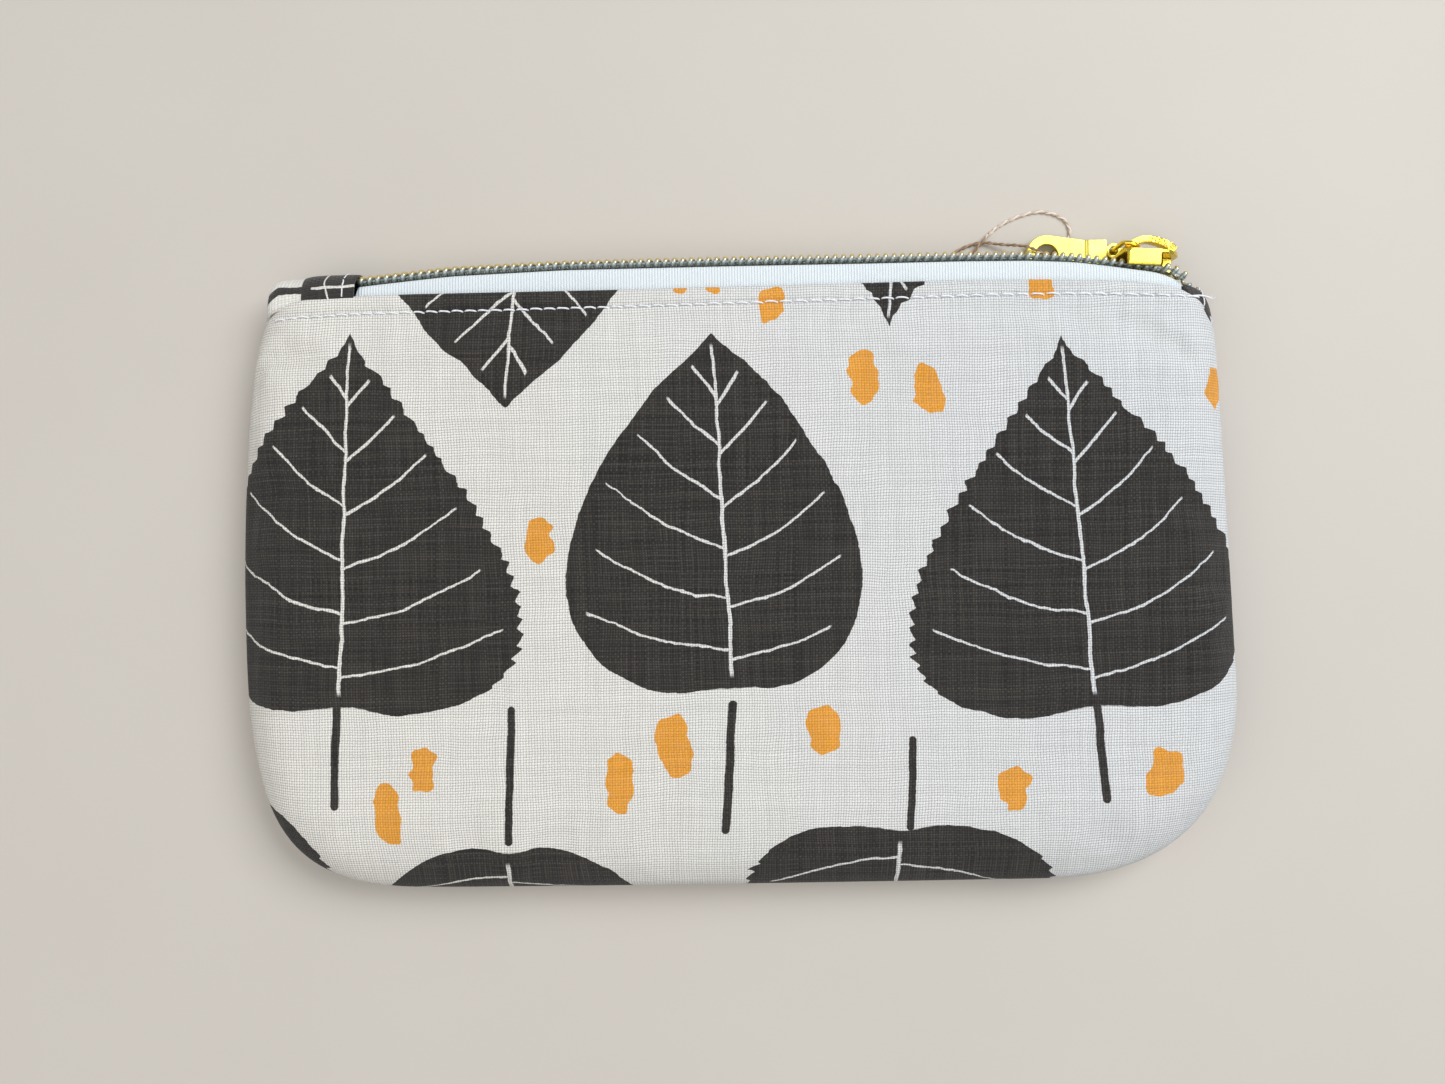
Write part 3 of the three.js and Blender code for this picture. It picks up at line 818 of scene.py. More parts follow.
def with_turned_in(points, flat, way):
    """Adds the turned-in edge along the left, bottom and right of a grid of points."""
    extra = len(TURNED_IN)
    rows, columns = points.shape[:2]
    pad = ((extra, 0), (extra, extra), (0, 0))
    points, flat, way = (np.pad(a, pad, mode="edge") for a in (points, flat, way))
    i, j = np.arange(rows + extra)[:, None], np.arange(columns + 2 * extra)[None]
    ring = np.maximum(np.maximum(extra - i, extra - j), np.maximum(j - extra - columns + 1, 0))
    inset = np.array([0.0, *(t[0] for t in TURNED_IN)])[ring]
    low = np.array([0.0, *(t[1] for t in TURNED_IN)])[ring]
    points[..., :2] -= way * inset[..., None]
    points[..., 2] = np.where(ring > 0, low, points[..., 2])
    return points, flat + way * inset[..., None], extra


def panel_points(side, puff):
    """The outer cloth's face on one side: rows of points from the bottom seam to inside the mouth.

    Also gives each point's place on the flat cloth, and the rows that lie in the open.
    """
    u, v = fine_shares(True)
    plan = patch(u, v)
    depth, way = depth_and_outward(plan)
    height = roll(depth, HALF)
    flat = plan + way * unrolled(depth)[..., None]
    points = with_z(plan, height)
    points += swelling(side, puff, u, v, depth)
    if side < 0:  # the back lies on the table
        points[..., 2] = np.minimum(points[..., 2], MID - 0.01)
    # The seam is drawn in, so a shallow groove runs between the two panels.
    groove = bell(height, GROOVE_HIGH) * GROOVE_DEEP
    points[..., :2] -= way * groove[..., None]
    points[..., 2] = np.maximum(points[..., 2], 0.04)
    x = plan[..., 0]
    nearest_hole = np.abs(x[..., None] - HOLES[None, None]).min(2)
    channel = bell(plan[..., 1] - stitch_y(x), CHANNEL_WIDE)
    ends = np.clip((83.0 - np.abs(x)) / 2.0, 0, 1)
    deep = CHANNEL_DEEP + DIMPLE_DEEP * bell(nearest_hole, DIMPLE_WIDE)
    points[..., 2] -= channel * ends * deep
    down = (1 - v)[:, None] * PLAN_HIGH
    points[..., 2] += bell(down - 1.3, 0.9) * 0.12 * ends  # the fold's edge is plump
    points, flat, extra = with_turned_in(points, flat, way)
    v = np.concatenate([np.zeros(extra), v])
    open_rows = slice(extra, len(v))
    # The fold: round the edge and back inside, beside the tape.
    top = points[-1]
    top_way = across_of(np.gradient(plan[-1], axis=0))
    top_way = np.pad(top_way, ((extra, extra), (0, 0)), mode="edge")
    thick = np.clip(np.minimum(FOLD_ROLL, (top[:, 2] - 0.03) * 0.45), 0.01, None)
    rows, flat_rows = [points], [flat]
    for angle in np.radians([60, 30, 0, -30, -60, -90]):
        ring = top.copy()
        ring[:, :2] += top_way * (thick * math.cos(angle))[:, None]
        ring[:, 2] += thick * (math.sin(angle) - 1)
        rows.append(ring[None])
        flat_rows.append((flat[-1] + top_way * (thick * (math.pi / 2 - angle))[:, None])[None])
    for back_in in (1.2, 2.6, 4.2):
        row = int(np.argmin(np.abs((1 - v) * PLAN_HIGH - back_in)))
        ring = points[row].copy()
        ring[:, 2] = np.minimum(ring[:, 2], top[:, 2] + 0.15) - 2 * thick
        rows.append(ring[None])
        flat_rows.append((flat[-1] + top_way * (thick * math.pi + back_in)[:, None])[None])
    points, flat = np.concatenate(rows), np.concatenate(flat_rows)
    points[..., 2] = MID + side * points[..., 2]
    return points, flat, open_rows


def cleaned(mesh):
    """Joins points that fell together, and drops the faces that closed up."""
    work = bmesh.new()
    work.from_mesh(mesh)
    bmesh.ops.remove_doubles(work, verts=work.verts, dist=1e-7)
    bmesh.ops.dissolve_degenerate(work, edges=work.edges, dist=1e-7)
    work.to_mesh(mesh)
    work.free()


def reshaped(mesh, change):
    """Moves a mesh's points, which change takes and gives back in millimetres."""
    points = np.empty(len(mesh.vertices) * 3)
    mesh.vertices.foreach_get("co", points)
    points = change(points.reshape(-1, 3) / MM)
    mesh.vertices.foreach_set("co", (points * MM).ravel())
    mesh.update()


def above_floor(points, lowest=0.01):
    points[:, 2] = np.maximum(points[:, 2], lowest)
    return points


def panel_mesh(name, points, flat, side):
    return mesh_of(name, points, grid_faces(*points.shape[:2], flip=side < 0), with_z(flat, side))


def outer_panel(half, puff, material):
    side = SIDES[half]
    points, flat, open_rows = panel_points(side, puff)
    if side < 0:
        flat = flat + np.array(BACK_SHIFT)
    name = f"outer_cloth_{half}"
    mesh = panel_mesh(name, points, flat, side)
    cleaned(mesh)
    piece = add_object(name, mesh, material, replaces=[f"outer_{half}"])
    thicken(piece, OUTER_THICK)
    reshaped(piece.data, above_floor)
    return points[open_rows]


def thicken(piece, thickness):
    """Gives a sheet its thickness, inwards, with the modifier applied."""
    solid = piece.modifiers.new("thickness", "SOLIDIFY")
    solid.thickness = thickness * MM
    solid.offset = -1
    solid.use_even_offset = False
    applied(piece)


def applied(piece):
    """Replaces a piece's mesh by what its modifiers make of it."""
    graph = bpy.context.evaluated_depsgraph_get()
    mesh = bpy.data.meshes.new_from_object(piece.evaluated_get(graph))
    old = piece.data
    piece.modifiers.clear()
    piece.data = mesh
    mesh.name = piece.name
    bpy.data.meshes.remove(old)
    for polygon in mesh.polygons:
        polygon.use_smooth = True


def inner_panel(name, half, puff, inward, thickness, top_down, material, node):
    """A hidden layer: the outer panel's shape moved inwards along its normals."""
    side = SIDES[half]
    u, v = fine_shares(False)
    v = v * (1 - top_down / PLAN_HIGH)
    plan = patch(u, v)
    depth, way = depth_and_outward(plan)
    share = np.clip(1 - depth / EDGE_ROUND, 0, 1)
    tilt = share[..., None] ** 1.3
    height = np.maximum(roll(depth, HALF) - inward * (1 - share**2), 0.28)
    points = with_z(plan - way * inward * tilt, height)
    points += swelling(side, puff, u, v, depth)
    points[..., 2] = np.maximum(points[..., 2], 0.62 if inward < 1 else 0.95)
    if side < 0:
        points[..., 2] = np.minimum(points[..., 2], MID - inward)
    points[..., 2] = MID + side * points[..., 2]
    mesh = panel_mesh(name, points, plan, side)
    piece = add_object(name, mesh, material, replaces=[node])
    area = sum(face.area for face in mesh.polygons)
    thicken(piece, thickness)
    return piece, area


# ---------------------------------------------------------------- sewing thread
def thread_material():
    material, tree = new_material("sewing thread", Roughness=0.55, Sheen_Weight=0.3)
    place = place_mm(tree)
    x, y, z = split(place)
    ply = (x * 5.2 + y * 3.1 + z * 2.0).sine()
    fuzz = noise(place, 3.0, 2.0)
    color = tinted((0.76, 0.77, 0.80), 0.93 + ply * 0.05 + fuzz * 0.06)
    return finished(material, color, bump(ply * 0.5 + fuzz, 0.03))


def thread_piece(name, parts, material, node=None, lowest=0.01):
    """One piece from its stitches, kept above the table."""
    points, faces = many(parts)
    mesh = mesh_of(name, above_floor(points, lowest), faces)
    return add_object(name, mesh, material, replaces=[node] if node else ())


STITCH_RISE = 0.16  # the share of a stitch that comes up out of its hole
TOPSTITCH_R, TOPSTITCH_SINK = 0.16, 0.32


def one_stitch(start, end, normal, radius, lift, sink, draw):
    """A stitch: out of one needle hole, over the cloth, and into the next."""
    t = np.linspace(0, 1, 15)
    over = np.clip(np.minimum(t, 1 - t) / STITCH_RISE, 0, 1) ** 0.6
    side = np.cross(normal, end - start)
    side /= max(np.linalg.norm(side), 1e-9)
    bow = np.sin(math.pi * t) * draw.uniform(0.06, 0.16)
    path = start + (end - start) * t[:, None]
    path = path + normal * (over * (lift + sink) - sink)[:, None] + side * bow[:, None]
    angles = circle(10)
    turn = draw.uniform(0, 6)

    def section(i):
        wave = 1 + 0.09 * np.cos(3 * angles - t[i] * 14 + turn)
        return radius * wave * np.cos(angles), radius * wave * np.sin(angles)

    return swept(path, section, ups=np.repeat([normal], len(path), 0))


def on_cloth(cloth, x):
    """The place on the cloth, on the stitching's line, at this X."""
    y = float(stitch_y(x))
    near = np.nonzero(np.abs(cloth[-8, :, 0] - x) < 1.6)[0]
    place_x, place_z = (
        [np.interp(y, cloth[:, j, 1], cloth[:, j, k]) for j in near] for k in (0, 2)
    )
    return np.array([x, y, np.interp(x, place_x, place_z)])


def topstitching(half, cloth, material):
    side = SIDES[half]
    draw = random.Random(11 + side)
    normal = np.array([0.0, 0.0, side])
    parts = []
    for a, b in zip(HOLES[:-1], HOLES[1:]):
        start, end = on_cloth(cloth, a + 0.16), on_cloth(cloth, b - 0.12)
        start[1] += draw.uniform(-0.05, 0.05) + 0.06
        end[1] += draw.uniform(-0.05, 0.05) - 0.10
        middle = on_cloth(cloth, (a + b) / 2)[2]
        lift = (middle - (start[2] + end[2]) / 2) * side + 0.12
        lift = max(lift, 0.1)
        parts.append(one_stitch(start, end, normal, TOPSTITCH_R, lift, TOPSTITCH_SINK, draw))
    thread_piece(f"topstitches_{half}", parts, material, f"topstitch_{half}")


# ---------------------------------------------------------------- the zip
CHAIN_LEFT, CHAIN_RIGHT, PITCH = -66.3, 80.6, 1.5
CHAIN = [
    (-78, 50.0), (-66.3, 50.8), (-60, 51.45), (-50, 52.4), (-30, 53.15), (0, 53.35), (25, 53.4),
    (40, 53.5), (52, 53.4), (60, 53.0), (66, 52.2), (70, 51.6), (75, 50.9), (78, 50.0),
    (79.5, 49.0), (80.6, 47.8), (81.8, 46.2),
]
chain = softened(resampled(np.array(CHAIN, float), 1200), 8)


def chain_y(x):
    return np.interp(x, chain[:, 0], chain[:, 1])


def chain_spread(x):
    """How far each row stands aside to pass the slider's wedge."""
    return 1.5 * eased((np.asarray(x, float) - 74.5) / 1.9)


def on_chain(x, n, w, side):
    """From along, outwards from and across the chain, to the pouch's frame."""
    return np.stack([x, n + chain_y(x), MID + side * (w + chain_spread(x))], -1)


LOOP_WIDE, LOOP_MIDDLE, LOOP_TALL = 1.42, 1.12, 0.57
WIRE = 0.37
LOOP_POINTS = 22


def squared(wave, power=0.8):
    """A wave with fuller turns, as a rounded square has."""
    return np.sign(wave) * np.abs(wave) ** power


def coil_row(half, material, core_material):
    side = SIDES[half]
    start = CHAIN_LEFT - 1.5 + (0 if side > 0 else PITCH / 2)
    turns = (CHAIN_RIGHT - 0.2 - start) / PITCH
    phase = np.linspace(0, turns * 2 * math.pi, int(turns * LOOP_POINTS))
    x = start + PITCH * phase / (2 * math.pi)
    w = LOOP_MIDDLE + LOOP_WIDE * squared(np.cos(phase))
    path = on_chain(x, LOOP_TALL * squared(np.sin(phase)), w, side)
    middle = on_chain(x, np.zeros_like(x), np.full_like(x, LOOP_MIDDLE), side)
    wire = WIRE * (1 + 0.12 * np.cos(phase))  # a little wider where it turns round
    angles = circle(9)
    section = lambda i: (wire[i] * np.cos(angles), WIRE * 0.92 * np.sin(angles))
    points, faces = swept(path, section, ups=path - middle)
    height = points[:, 1] - chain_y(points[:, 0])
    name = f"zip_loops_{half}"
    mesh = mesh_of(name, points, faces, np.stack([points[:, 0], height, points[:, 2]], 1))
    add_object(name, mesh, material, replaces=[f"zip_coil_{half}"])
    x = np.arange(CHAIN_LEFT - 1.0, CHAIN_RIGHT - 0.8, 0.6)
    core = on_chain(x, np.full_like(x, -0.02), np.full_like(x, LOOP_MIDDLE + 0.35), side)
    name = f"zip_core_{half}"
    add_object(name, mesh_of(name, *swept(core, round_section(0.24, 8))), core_material)


TAPE_THICK, TAPE_LEFT, TAPE_RIGHT = 0.42, -75.2, 79.3
TAPE_FACE, TAPE_DEEP = -1.38, -13.0  # where the coil lies on it, and its hidden edge
TAPE_SLIT, TAPE_LEDGE = 1.25, 4.45  # its two edges, from the middle of the chain
TAPE_BEND = 0.92
NARROW_FROM, CUT_SHORT_FROM = 72.0, 75.4


def tape_section():
    """The tape's section in (n, w): down beside the slider, then flat under the cloth."""
    line = [(TAPE_FACE, w) for w in (TAPE_SLIT, 2.2, 3.0)]
    for angle in np.radians([0, 22.5, 45, 67.5, 90]):
        n = TAPE_FACE - TAPE_BEND * (1 - math.cos(angle))
        line.append((n, TAPE_LEDGE - TAPE_BEND * (1 - math.sin(angle))))
    line += [(n, TAPE_LEDGE) for n in (-4.0, -6.5, -9.5, TAPE_DEEP)]
    line = np.array(line)
    inner = line + across_of(np.gradient(line, axis=0)) * TAPE_THICK
    length = run(line)
    return np.concatenate([line, inner[::-1]]), np.concatenate([length, length[::-1]])


def zip_tape(half, material):
    side = SIDES[half]
    section, across = tape_section()
    draw = random.Random(31 + side)
    x = np.concatenate([np.arange(TAPE_LEFT, 70, 0.9), np.arange(70, TAPE_RIGHT, 0.45)])
    wave = np.interp(x, np.arange(-80, 85, 4), [draw.uniform(-0.05, 0.05) for _ in range(42)])
    rings, flats = [], []
    for i, at_x in enumerate(x):
        n, w = section[:, 0].copy(), section[:, 1].copy()
        w = w + wave[i] * np.clip(-n - 1.4, 0, 1)
        narrow = 1 - 0.55 * np.clip((at_x - NARROW_FROM) / (TAPE_RIGHT - NARROW_FROM), 0, 1) ** 1.5
        w = TAPE_SLIT + (w - TAPE_SLIT) * narrow
        if at_x < CHAIN_LEFT - 0.6:  # under the left tab only the tape's lower part is left
            n = np.minimum(n, -4.0)
        if at_x > CUT_SHORT_FROM:  # past the side seam it is cut off short
            n = np.maximum(n, -4.6)
        here = np.full_like(n, at_x)
        rings.append(np.stack([here, n + chain_y(at_x), MID + side * w], 1))
        flats.append(np.stack([here, across, np.zeros_like(n)], 1))
    faces = grid_faces(len(x), len(section), close_columns=True, flip=side > 0)
    ends = end_faces(len(x), len(section))
    faces += ends if side > 0 else [e[::-1] for e in ends]
    name = f"tape_{half}"
    mesh = mesh_of(name, np.concatenate(rings), faces, np.concatenate(flats))
    add_object(name, mesh, material, replaces=[f"zip_tape_{half}"])


def tape_material():
    material, tree = new_material("zip tape", Roughness=0.75, Sheen_Weight=0.25)
    x, across, _ = split(attribute(tree, "flat"))
    ribs = ((x / 0.50) * math.pi).sine().abs()
    picks = ((across / 0.30 + x / 0.9) * math.pi).sine().abs()
    height = ribs * 0.75 + picks * 0.35
    fuzz = noise(joined(x, across), 1.6, 3.0)
    shade = height.ramp(0.0, 0.9, 0.76, 1.0) * (0.95 + fuzz * 0.08)
    color = tinted((0.71, 0.765, 0.79), shade)
    return finished(material, color, bump(height + fuzz * 0.2, 0.14, 0.9))


def loop_material():
    """Nylon wire with a thin gold finish, grey-teal below: painted shade and painted sky
    reflection.
    """
    material, tree = new_material("gilt nylon wire", Metallic=0.7)
    fine = noise(place_mm(tree), 6.0, 2.0)
    _, height, _ = split(attribute(tree, "flat"))
    # painted shade: gold on the loops' upper side, painted grey-teal below for shade and a painted
    # sky reflection
    above_painted_shade = (height + (fine - 0.5) * 0.3).ramp(-0.08, 0.42)
    color = mix(above_painted_shade, (0.45, 0.50, 0.47), (0.68, 0.53, 0.22))
    return finished(material, color, bump(fine, 0.02, 0.5), fine.ramp(0.2, 0.8, 0.22, 0.42))


def core_material():
    material, tree = new_material("zip core cord", Roughness=0.8)
    x, _, z = split(place_mm(tree))
    twist = (x * 3.0 + z * 4.0).sine()
    color = mix(twist.ramp(-1, 1), (0.30, 0.35, 0.38), (0.46, 0.52, 0.56))
    return finished(material, color, bump(twist, 0.05))


# ---------------------------------------------------------------- slider, link and pull
def gold_material(name, color, rough, hammered):
    material, tree = new_material(name, Metallic=1.0)
    place = place_mm(tree)
    smear = noise(place, 0.35, 3.0)
    x, y, z = split(place)
    scratch = noise(joined(x * 7.0, y * 0.8, z * 0.8), 1.0, 2.0)
    tint = mix(smear.ramp(0.3, 0.7), color, tuple(c * 0.93 for c in color))
    rough = smear.ramp(0.2, 0.8, rough, rough + 0.12) + scratch.ramp(0.55, 0.75) * 0.12
    height = noise(place, 9.0, 2.0) * 0.25 + scratch.ramp(0.6, 0.7) * 0.3
    if hammered:
        dimple = built(tree, "TexVoronoi", {"Vector": place, "Scale": 1.9}, "Distance")
        height = height + dimple * x.ramp(74.0, 76.0) * y.ramp(53.0, 54.2) * 7.0
    return finished(material, tint, bump(height, 0.035, 0.7), rough)


def cast_copy(name, node, voxel, rounds, material, body, dents=()):
    """A CAD metal piece with its edges rounded as a casting's are."""
    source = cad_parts[node]
    mesh = source.data.copy()
    mesh.transform(source.matrix_world)
    piece = add_object(name, mesh, material, body=body, replaces=[node])
    even = piece.modifiers.new("even", "REMESH")
    even.mode = "VOXEL"
    even.voxel_size = voxel * MM
    soft = piece.modifiers.new("soft", "SMOOTH")
    soft.factor = 0.5
    soft.iterations = rounds
    applied(piece)
    for dent in dents:
        reshaped(piece.data, dent)


SLIDER_AT = (73.85, 51.65)
SLIDER_TURN = math.radians(3.5)


def slider_frame(points):
    """Each point's place along the slider and outwards from it."""
    x, y = points[:, 0] - SLIDER_AT[0], points[:, 1] - SLIDER_AT[1]
    c, s = math.cos(SLIDER_TURN), math.sin(SLIDER_TURN)
    return x * c - y * s, x * s + y * c


def deeper_flanges(points):
    """Draws the slider's side walls down over the coil."""
    _, n = slider_frame(points)
    wall = (np.abs(points[:, 2] - MID) > 3.2) & (n > -1.2) & (n < 0.5)
    points[:, 1] -= np.where(wall, 0.42 * (0.5 - n), 0)
    return points


def longer_arch(points):
    """Draws the slider's arch out along the chain, beyond its plate."""
    u, n = slider_frame(points)
    reach = eased((n - 2.15) / 1.3) * np.clip((u - 0.6) / 3.0, 0, 1) * 1.15
    points[:, 0] += reach * math.cos(SLIDER_TURN)
    points[:, 1] -= reach * math.sin(SLIDER_TURN)
    return points


GROOVE_X = 64.35


def pull_groove(points):
    """A cut line across the pull, where its head meets the blade."""
    near = bell(points[:, 0] - GROOVE_X, 0.11) * 0.2
    points[:, 2] += np.where(points[:, 2] > 1.55, -near, near)
    return points


# ---------------------------------------------------------------- fabric tabs
# The print that shows on the left tab. Each line: from, to, half width.
TAB_BANDS = [
    ((-82.6, 46.9), (-80.2, 48.7), 0.68),
    ((-80.2, 48.7), (-75.5, 48.7), 0.68),
]
TAB_VEINS = [
    ((-73.9, 48.9), (-66.0, 49.25), 0.24),
    ((-70.9, 47.0), (-71.9, 49.6), 0.13),
    ((-71.9, 49.6), (-71.6, 52.5), 0.13),
]


def tab_round(angle):
    """How far across, and how far out to its crest, a tab goes round its strip."""
    return squared(np.sin(angle), 0.85), np.abs(np.cos(angle)) ** 0.75


def tab_mesh(name, rows, material, node, round_left, seed):
    """A strip of cloth over the zip's end. rows: x, the crest's y, half its depth in z."""
    rows = np.array(rows, float)
    line = softened(resampled(rows, int((rows[-1, 0] - rows[0, 0]) * 5)), 3)
    x, crest, half = line.T
    foot = np.minimum(np.interp(x, fold[:, 0], fold[:, 1]) - 0.4, crest - 0.3)
    angles = np.linspace(-math.pi / 2, math.pi / 2, 37)
    draw = random.Random(seed)
    bumps = [(draw.uniform(x[0], x[-1]), draw.uniform(-1.2, 1.2), draw.uniform(-0.16, 0.16))
             for _ in range(7)]
    rings = []
    for i, at_x in enumerate(x):
        close = 1.0
        if at_x - x[0] < round_left:
            close = math.sqrt(max(0.0, 1 - (1 - (at_x - x[0]) / round_left) ** 2)) * 0.93 + 0.07
        reach = (crest[i] - foot[i]) * close
        ring_half = half[i] * (0.75 + 0.25 * close)
        across, out = tab_round(angles)
        ripple = sum(
            h * math.exp(-((at_x - bx) / 1.6) ** 2) * np.exp(-((angles - ba) / 0.5) ** 2)
            for bx, ba, h in bumps
        )
        rings.append(np.stack([
            np.full_like(angles, at_x), foot[i] + reach * out + ripple * out,
            MID + (ring_half + ripple * 0.5) * across,
        ], 1))
    rings = np.array(rings)
    steps = np.linalg.norm(np.diff(rings, axis=1), axis=2)
    around = np.concatenate([np.zeros((len(x), 1)), np.cumsum(steps, axis=1)], axis=1)
    around -= around[:, len(angles) // 2][:, None]
    along = np.repeat(np.arange(len(x))[:, None] * 0.2, len(angles), axis=1)
    flat = np.stack([along, around, np.zeros_like(along)], 2)
    mesh = mesh_of(name, rings, grid_faces(len(x), len(angles)), flat)
    thicken(add_object(name, mesh, material, replaces=[node]), 0.5)


def tab_material(name, left):
    material, tree = new_material(name, Roughness=0.88, Sheen_Weight=0.15)
    x, y, _ = split(place_mm(tree))
    along, around, _ = split(attribute(tree, "flat"))
    height, tone = cloth_height_and_tone(along, around, THREAD_PITCH)
    ink = tinted(INK, (1 + tone * 0.9).at_least(0.3))
    if left:
        wobble = drift(x, y, 0.0, 0.6, 2.0) * 0.5
        px, py = x + wobble, y + wobble
        # painted shade: the cream is darkened in the weave's hollows between threads
        cream = tinted(LINEN, (1 + tone * 0.16) * height.ramp(0, 0.5, 0.7, 1))
        dark = covered([line_mask(px, py, *line) for line in TAB_BANDS])
        dark = dark.at_least(x.ramp(-75.95, -75.8))
        vein = covered([line_mask(px, py, *line) for line in TAB_VEINS])
        color = mix(dark * (1 - vein), cream, ink)
    else:
        color = tinted(ink, 1.5)
    return finished(material, color, bump(height + tone * 0.25, 0.11, 0.85))


def tab_stitches(name, x, rows, count, material, node, wide):
    """A row of stitches over a tab, from its front foot over the crest to its back foot."""
    rows = np.array(rows, float)
    crest, half = np.interp(x, rows[:, 0], rows[:, 1]), np.interp(x, rows[:, 0], rows[:, 2])
    foot = float(np.interp(x, fold[:, 0], fold[:, 1])) - 0.4
    draw = random.Random(3)

    def place(angle):
        across, out = tab_round(angle)
        return np.array([x, foot + (crest - foot) * out, MID + half * across])

    parts = []
    for i in range(count):
        a0 = -1.5 + 3.0 * (i + 0.06) / count
        a1 = -1.5 + 3.0 * (i + 0.94) / count
        start, end = place(a0), place(a1)
        middle = (a0 + a1) / 2
        normal = unit(np.array([0, max(math.cos(middle), 0.25), math.sin(middle)]))
        chord = (start + end) / 2
        lift = float((place(middle) - chord) @ normal) + 0.12
        start[0] += draw.uniform(-0.06, 0.06)
        parts.append(one_stitch(start, end, normal, wide, max(lift, 0.1), 0.3, draw))
    thread_piece(name, parts, material, node, lowest=0.02)


LEFT_TAB = [
    (-84.0, 43.3, 0.7), (-83.4, 44.3, 1.5), (-82.9, 45.3, 2.4), (-82.6, 47.4, 3.3),
    (-82.4, 49.8, 4.1), (-81.8, 51.1, 4.7), (-80.6, 51.6, 5.0), (-78.0, 51.6, 5.2),
    (-75.9, 51.6, 5.4), (-75.7, 52.0, 5.6), (-72, 52.2, 5.85), (-66.6, 52.1, 5.9),
]
RIGHT_TAB = [
    (79.0, 47.6, 4.5), (80.4, 47.9, 4.6), (81.8, 47.6, 4.5), (83.0, 46.6, 4.1), (83.9, 45.1, 3.4),
    (84.6, 43.3, 2.4), (85.0, 41.8, 1.0),
]


# ---------------------------------------------------------------- seam
def seam_stitches(name, inset, radius, pitch, material, node, top):
    """Short stitches that bridge the groove between the two panels."""
    line = outline[CORNERS["left"] : CORNERS["right"] + 1]
    line = line[line[:, 1] < top] if top else line
    share = np.linspace(0.003, 0.997, int(length_of(line) / pitch))
    places = at(line, share)
    out = -across_of(at(line, share + 0.0005) - places)
    draw = random.Random(8)
    parts = []
    for place, away in zip(places, out):
        slip = draw.uniform(-0.15, 0.15)
        base = np.array([*(place - away * inset), MID])
        along = np.array([-away[1], away[0], 0]) * (0.45 + slip)
        normal = np.array([away[0], away[1], 0])
        start, end = base - along - [0, 0, 0.42], base + along + [0, 0, 0.42]
        parts.append(one_stitch(start, end, normal, radius, 0.1, 0.22, draw))
    thread_piece(name, parts, material, node)


def frayed_end(material):
    """The topstitching's last thread, running off the right corner and fraying."""
    draw = random.Random(21)
    z = MID + 4.6
    start, end = np.array([79.9, 45.1, z]), np.array([83.9, 44.8, z - 0.9])
    t = np.linspace(0, 1, 16)[:, None]
    parts = [swept(start + (end - start) * t + np.sin(math.pi * t) * [0, 0.2, 0.35],
                   round_section(0.15, 8))]
    for _ in range(7):
        tip = end + [draw.uniform(0.1, 0.9), draw.uniform(-0.8, 0.5), draw.uniform(-0.5, 0.2)]
        bend = np.array([draw.uniform(-0.1, 0.2), draw.uniform(-0.3, 0.3), 0.1])
        root = end - [0.25, 0.0, -0.05]
        hair = root + (tip - root) * t + np.sin(math.pi * t) * bend
        parts.append(swept(hair, round_section(0.045, 6)))
    thread_piece("frayed_thread", parts, material)


# ---------------------------------------------------------------- tag string
STRING = [
    (33.4, 53.2, 0.4), (36.5, 53.6, 0.28), (39.4, 54.9, 0.28), (41.6, 56.6, 0.28),
    (45.4, 57.8, 0.5), (49.6, 57.2, 1.3), (52.6, 56.6, 2.6), (54.2, 56.1, 2.9),
    (55.8, 55.5, 2.5), (57.0, 55.2, 1.5), (58.1, 55.4, 0.6), (59.6, 56.3, 0.28),
    (61.3, 57.6, 0.28), (62.2, 59.2, 0.28), (61.6, 61.4, 0.28), (59.6, 62.8, 0.28),
    (56.6, 63.4, 0.28), (53.4, 62.8, 0.28), (50.2, 61.5, 0.28), (47.8, 59.9, 0.28),
    (45.6, 57.6, 1.05), (43.2, 55.0, 0.4), (40.4, 53.4, 0.28), (37.0, 52.4, 0.28),
    (33.4, 52.1, 0.4),
]
STRING_R = 0.28
KNOT_AT = (31.6, 52.65, 0.9)


def smooth_through(points, each):
    """A Catmull-Rom curve through points."""
    p = np.array(points, float)
    p = np.concatenate([[2 * p[0] - p[1]], p, [2 * p[-1] - p[-2]]])
    t = np.linspace(0, 1, each, endpoint=False)[:, None]
    spans = []
    for a, b, c, d in zip(p[:-3], p[1:-2], p[2:-1], p[3:]):
        spans.append(catmull(a, b, c, d, t))
    return np.concatenate([*spans, [p[-2]]])


def length_of(line):
    return float(run(line)[-1])


def two_ply(line, radius, lay):
    """Two strands twisted round a line, as points and faces."""
    line = resampled(line, int(length_of(line) / 0.11))
    tangent = unit(np.gradient(line, axis=0))
    ups = carried(tangent, np.array([0.0, 0.0, 1.0]))
    sides = np.cross(tangent, ups)
    along = np.arange(len(line)) * (length_of(line) / (len(line) - 1))
    parts = []
    for start in (0, math.pi):
        turn = along / lay * 2 * math.pi + start
        off = np.cos(turn)[:, None] * sides + np.sin(turn)[:, None] * ups
        parts.append(swept(line + off * radius * 0.48, round_section(radius * 0.62, 8), ups=off))
    return many(parts)


def string_material():
    material, tree = new_material("twisted string", Roughness=0.8, Sheen_Weight=0.3)
    place = place_mm(tree)
    x, y, _ = split(place)
    ply, _, _ = split(attribute(tree, "flat"))
    tone = (noise(place, 1.3, 3.0) * 0.5 + ply * 0.75).at_most(1.0)
    # painted shadow: near the pouch, below y 58, the string is a darker brown, for the strands in
    # the pouch's shadow
    far = (y + (x - 50) * 0.05).ramp(57.8, 59.4)
    painted_shadow_brown = mix(tone, (0.20, 0.12, 0.065), (0.40, 0.27, 0.17))
    pale = mix(tone, (0.48, 0.36, 0.27), (0.76, 0.66, 0.57))
    return finished(material, mix(far, painted_shadow_brown, pale), bump(noise(place, 7.0, 2.0), 0.05))


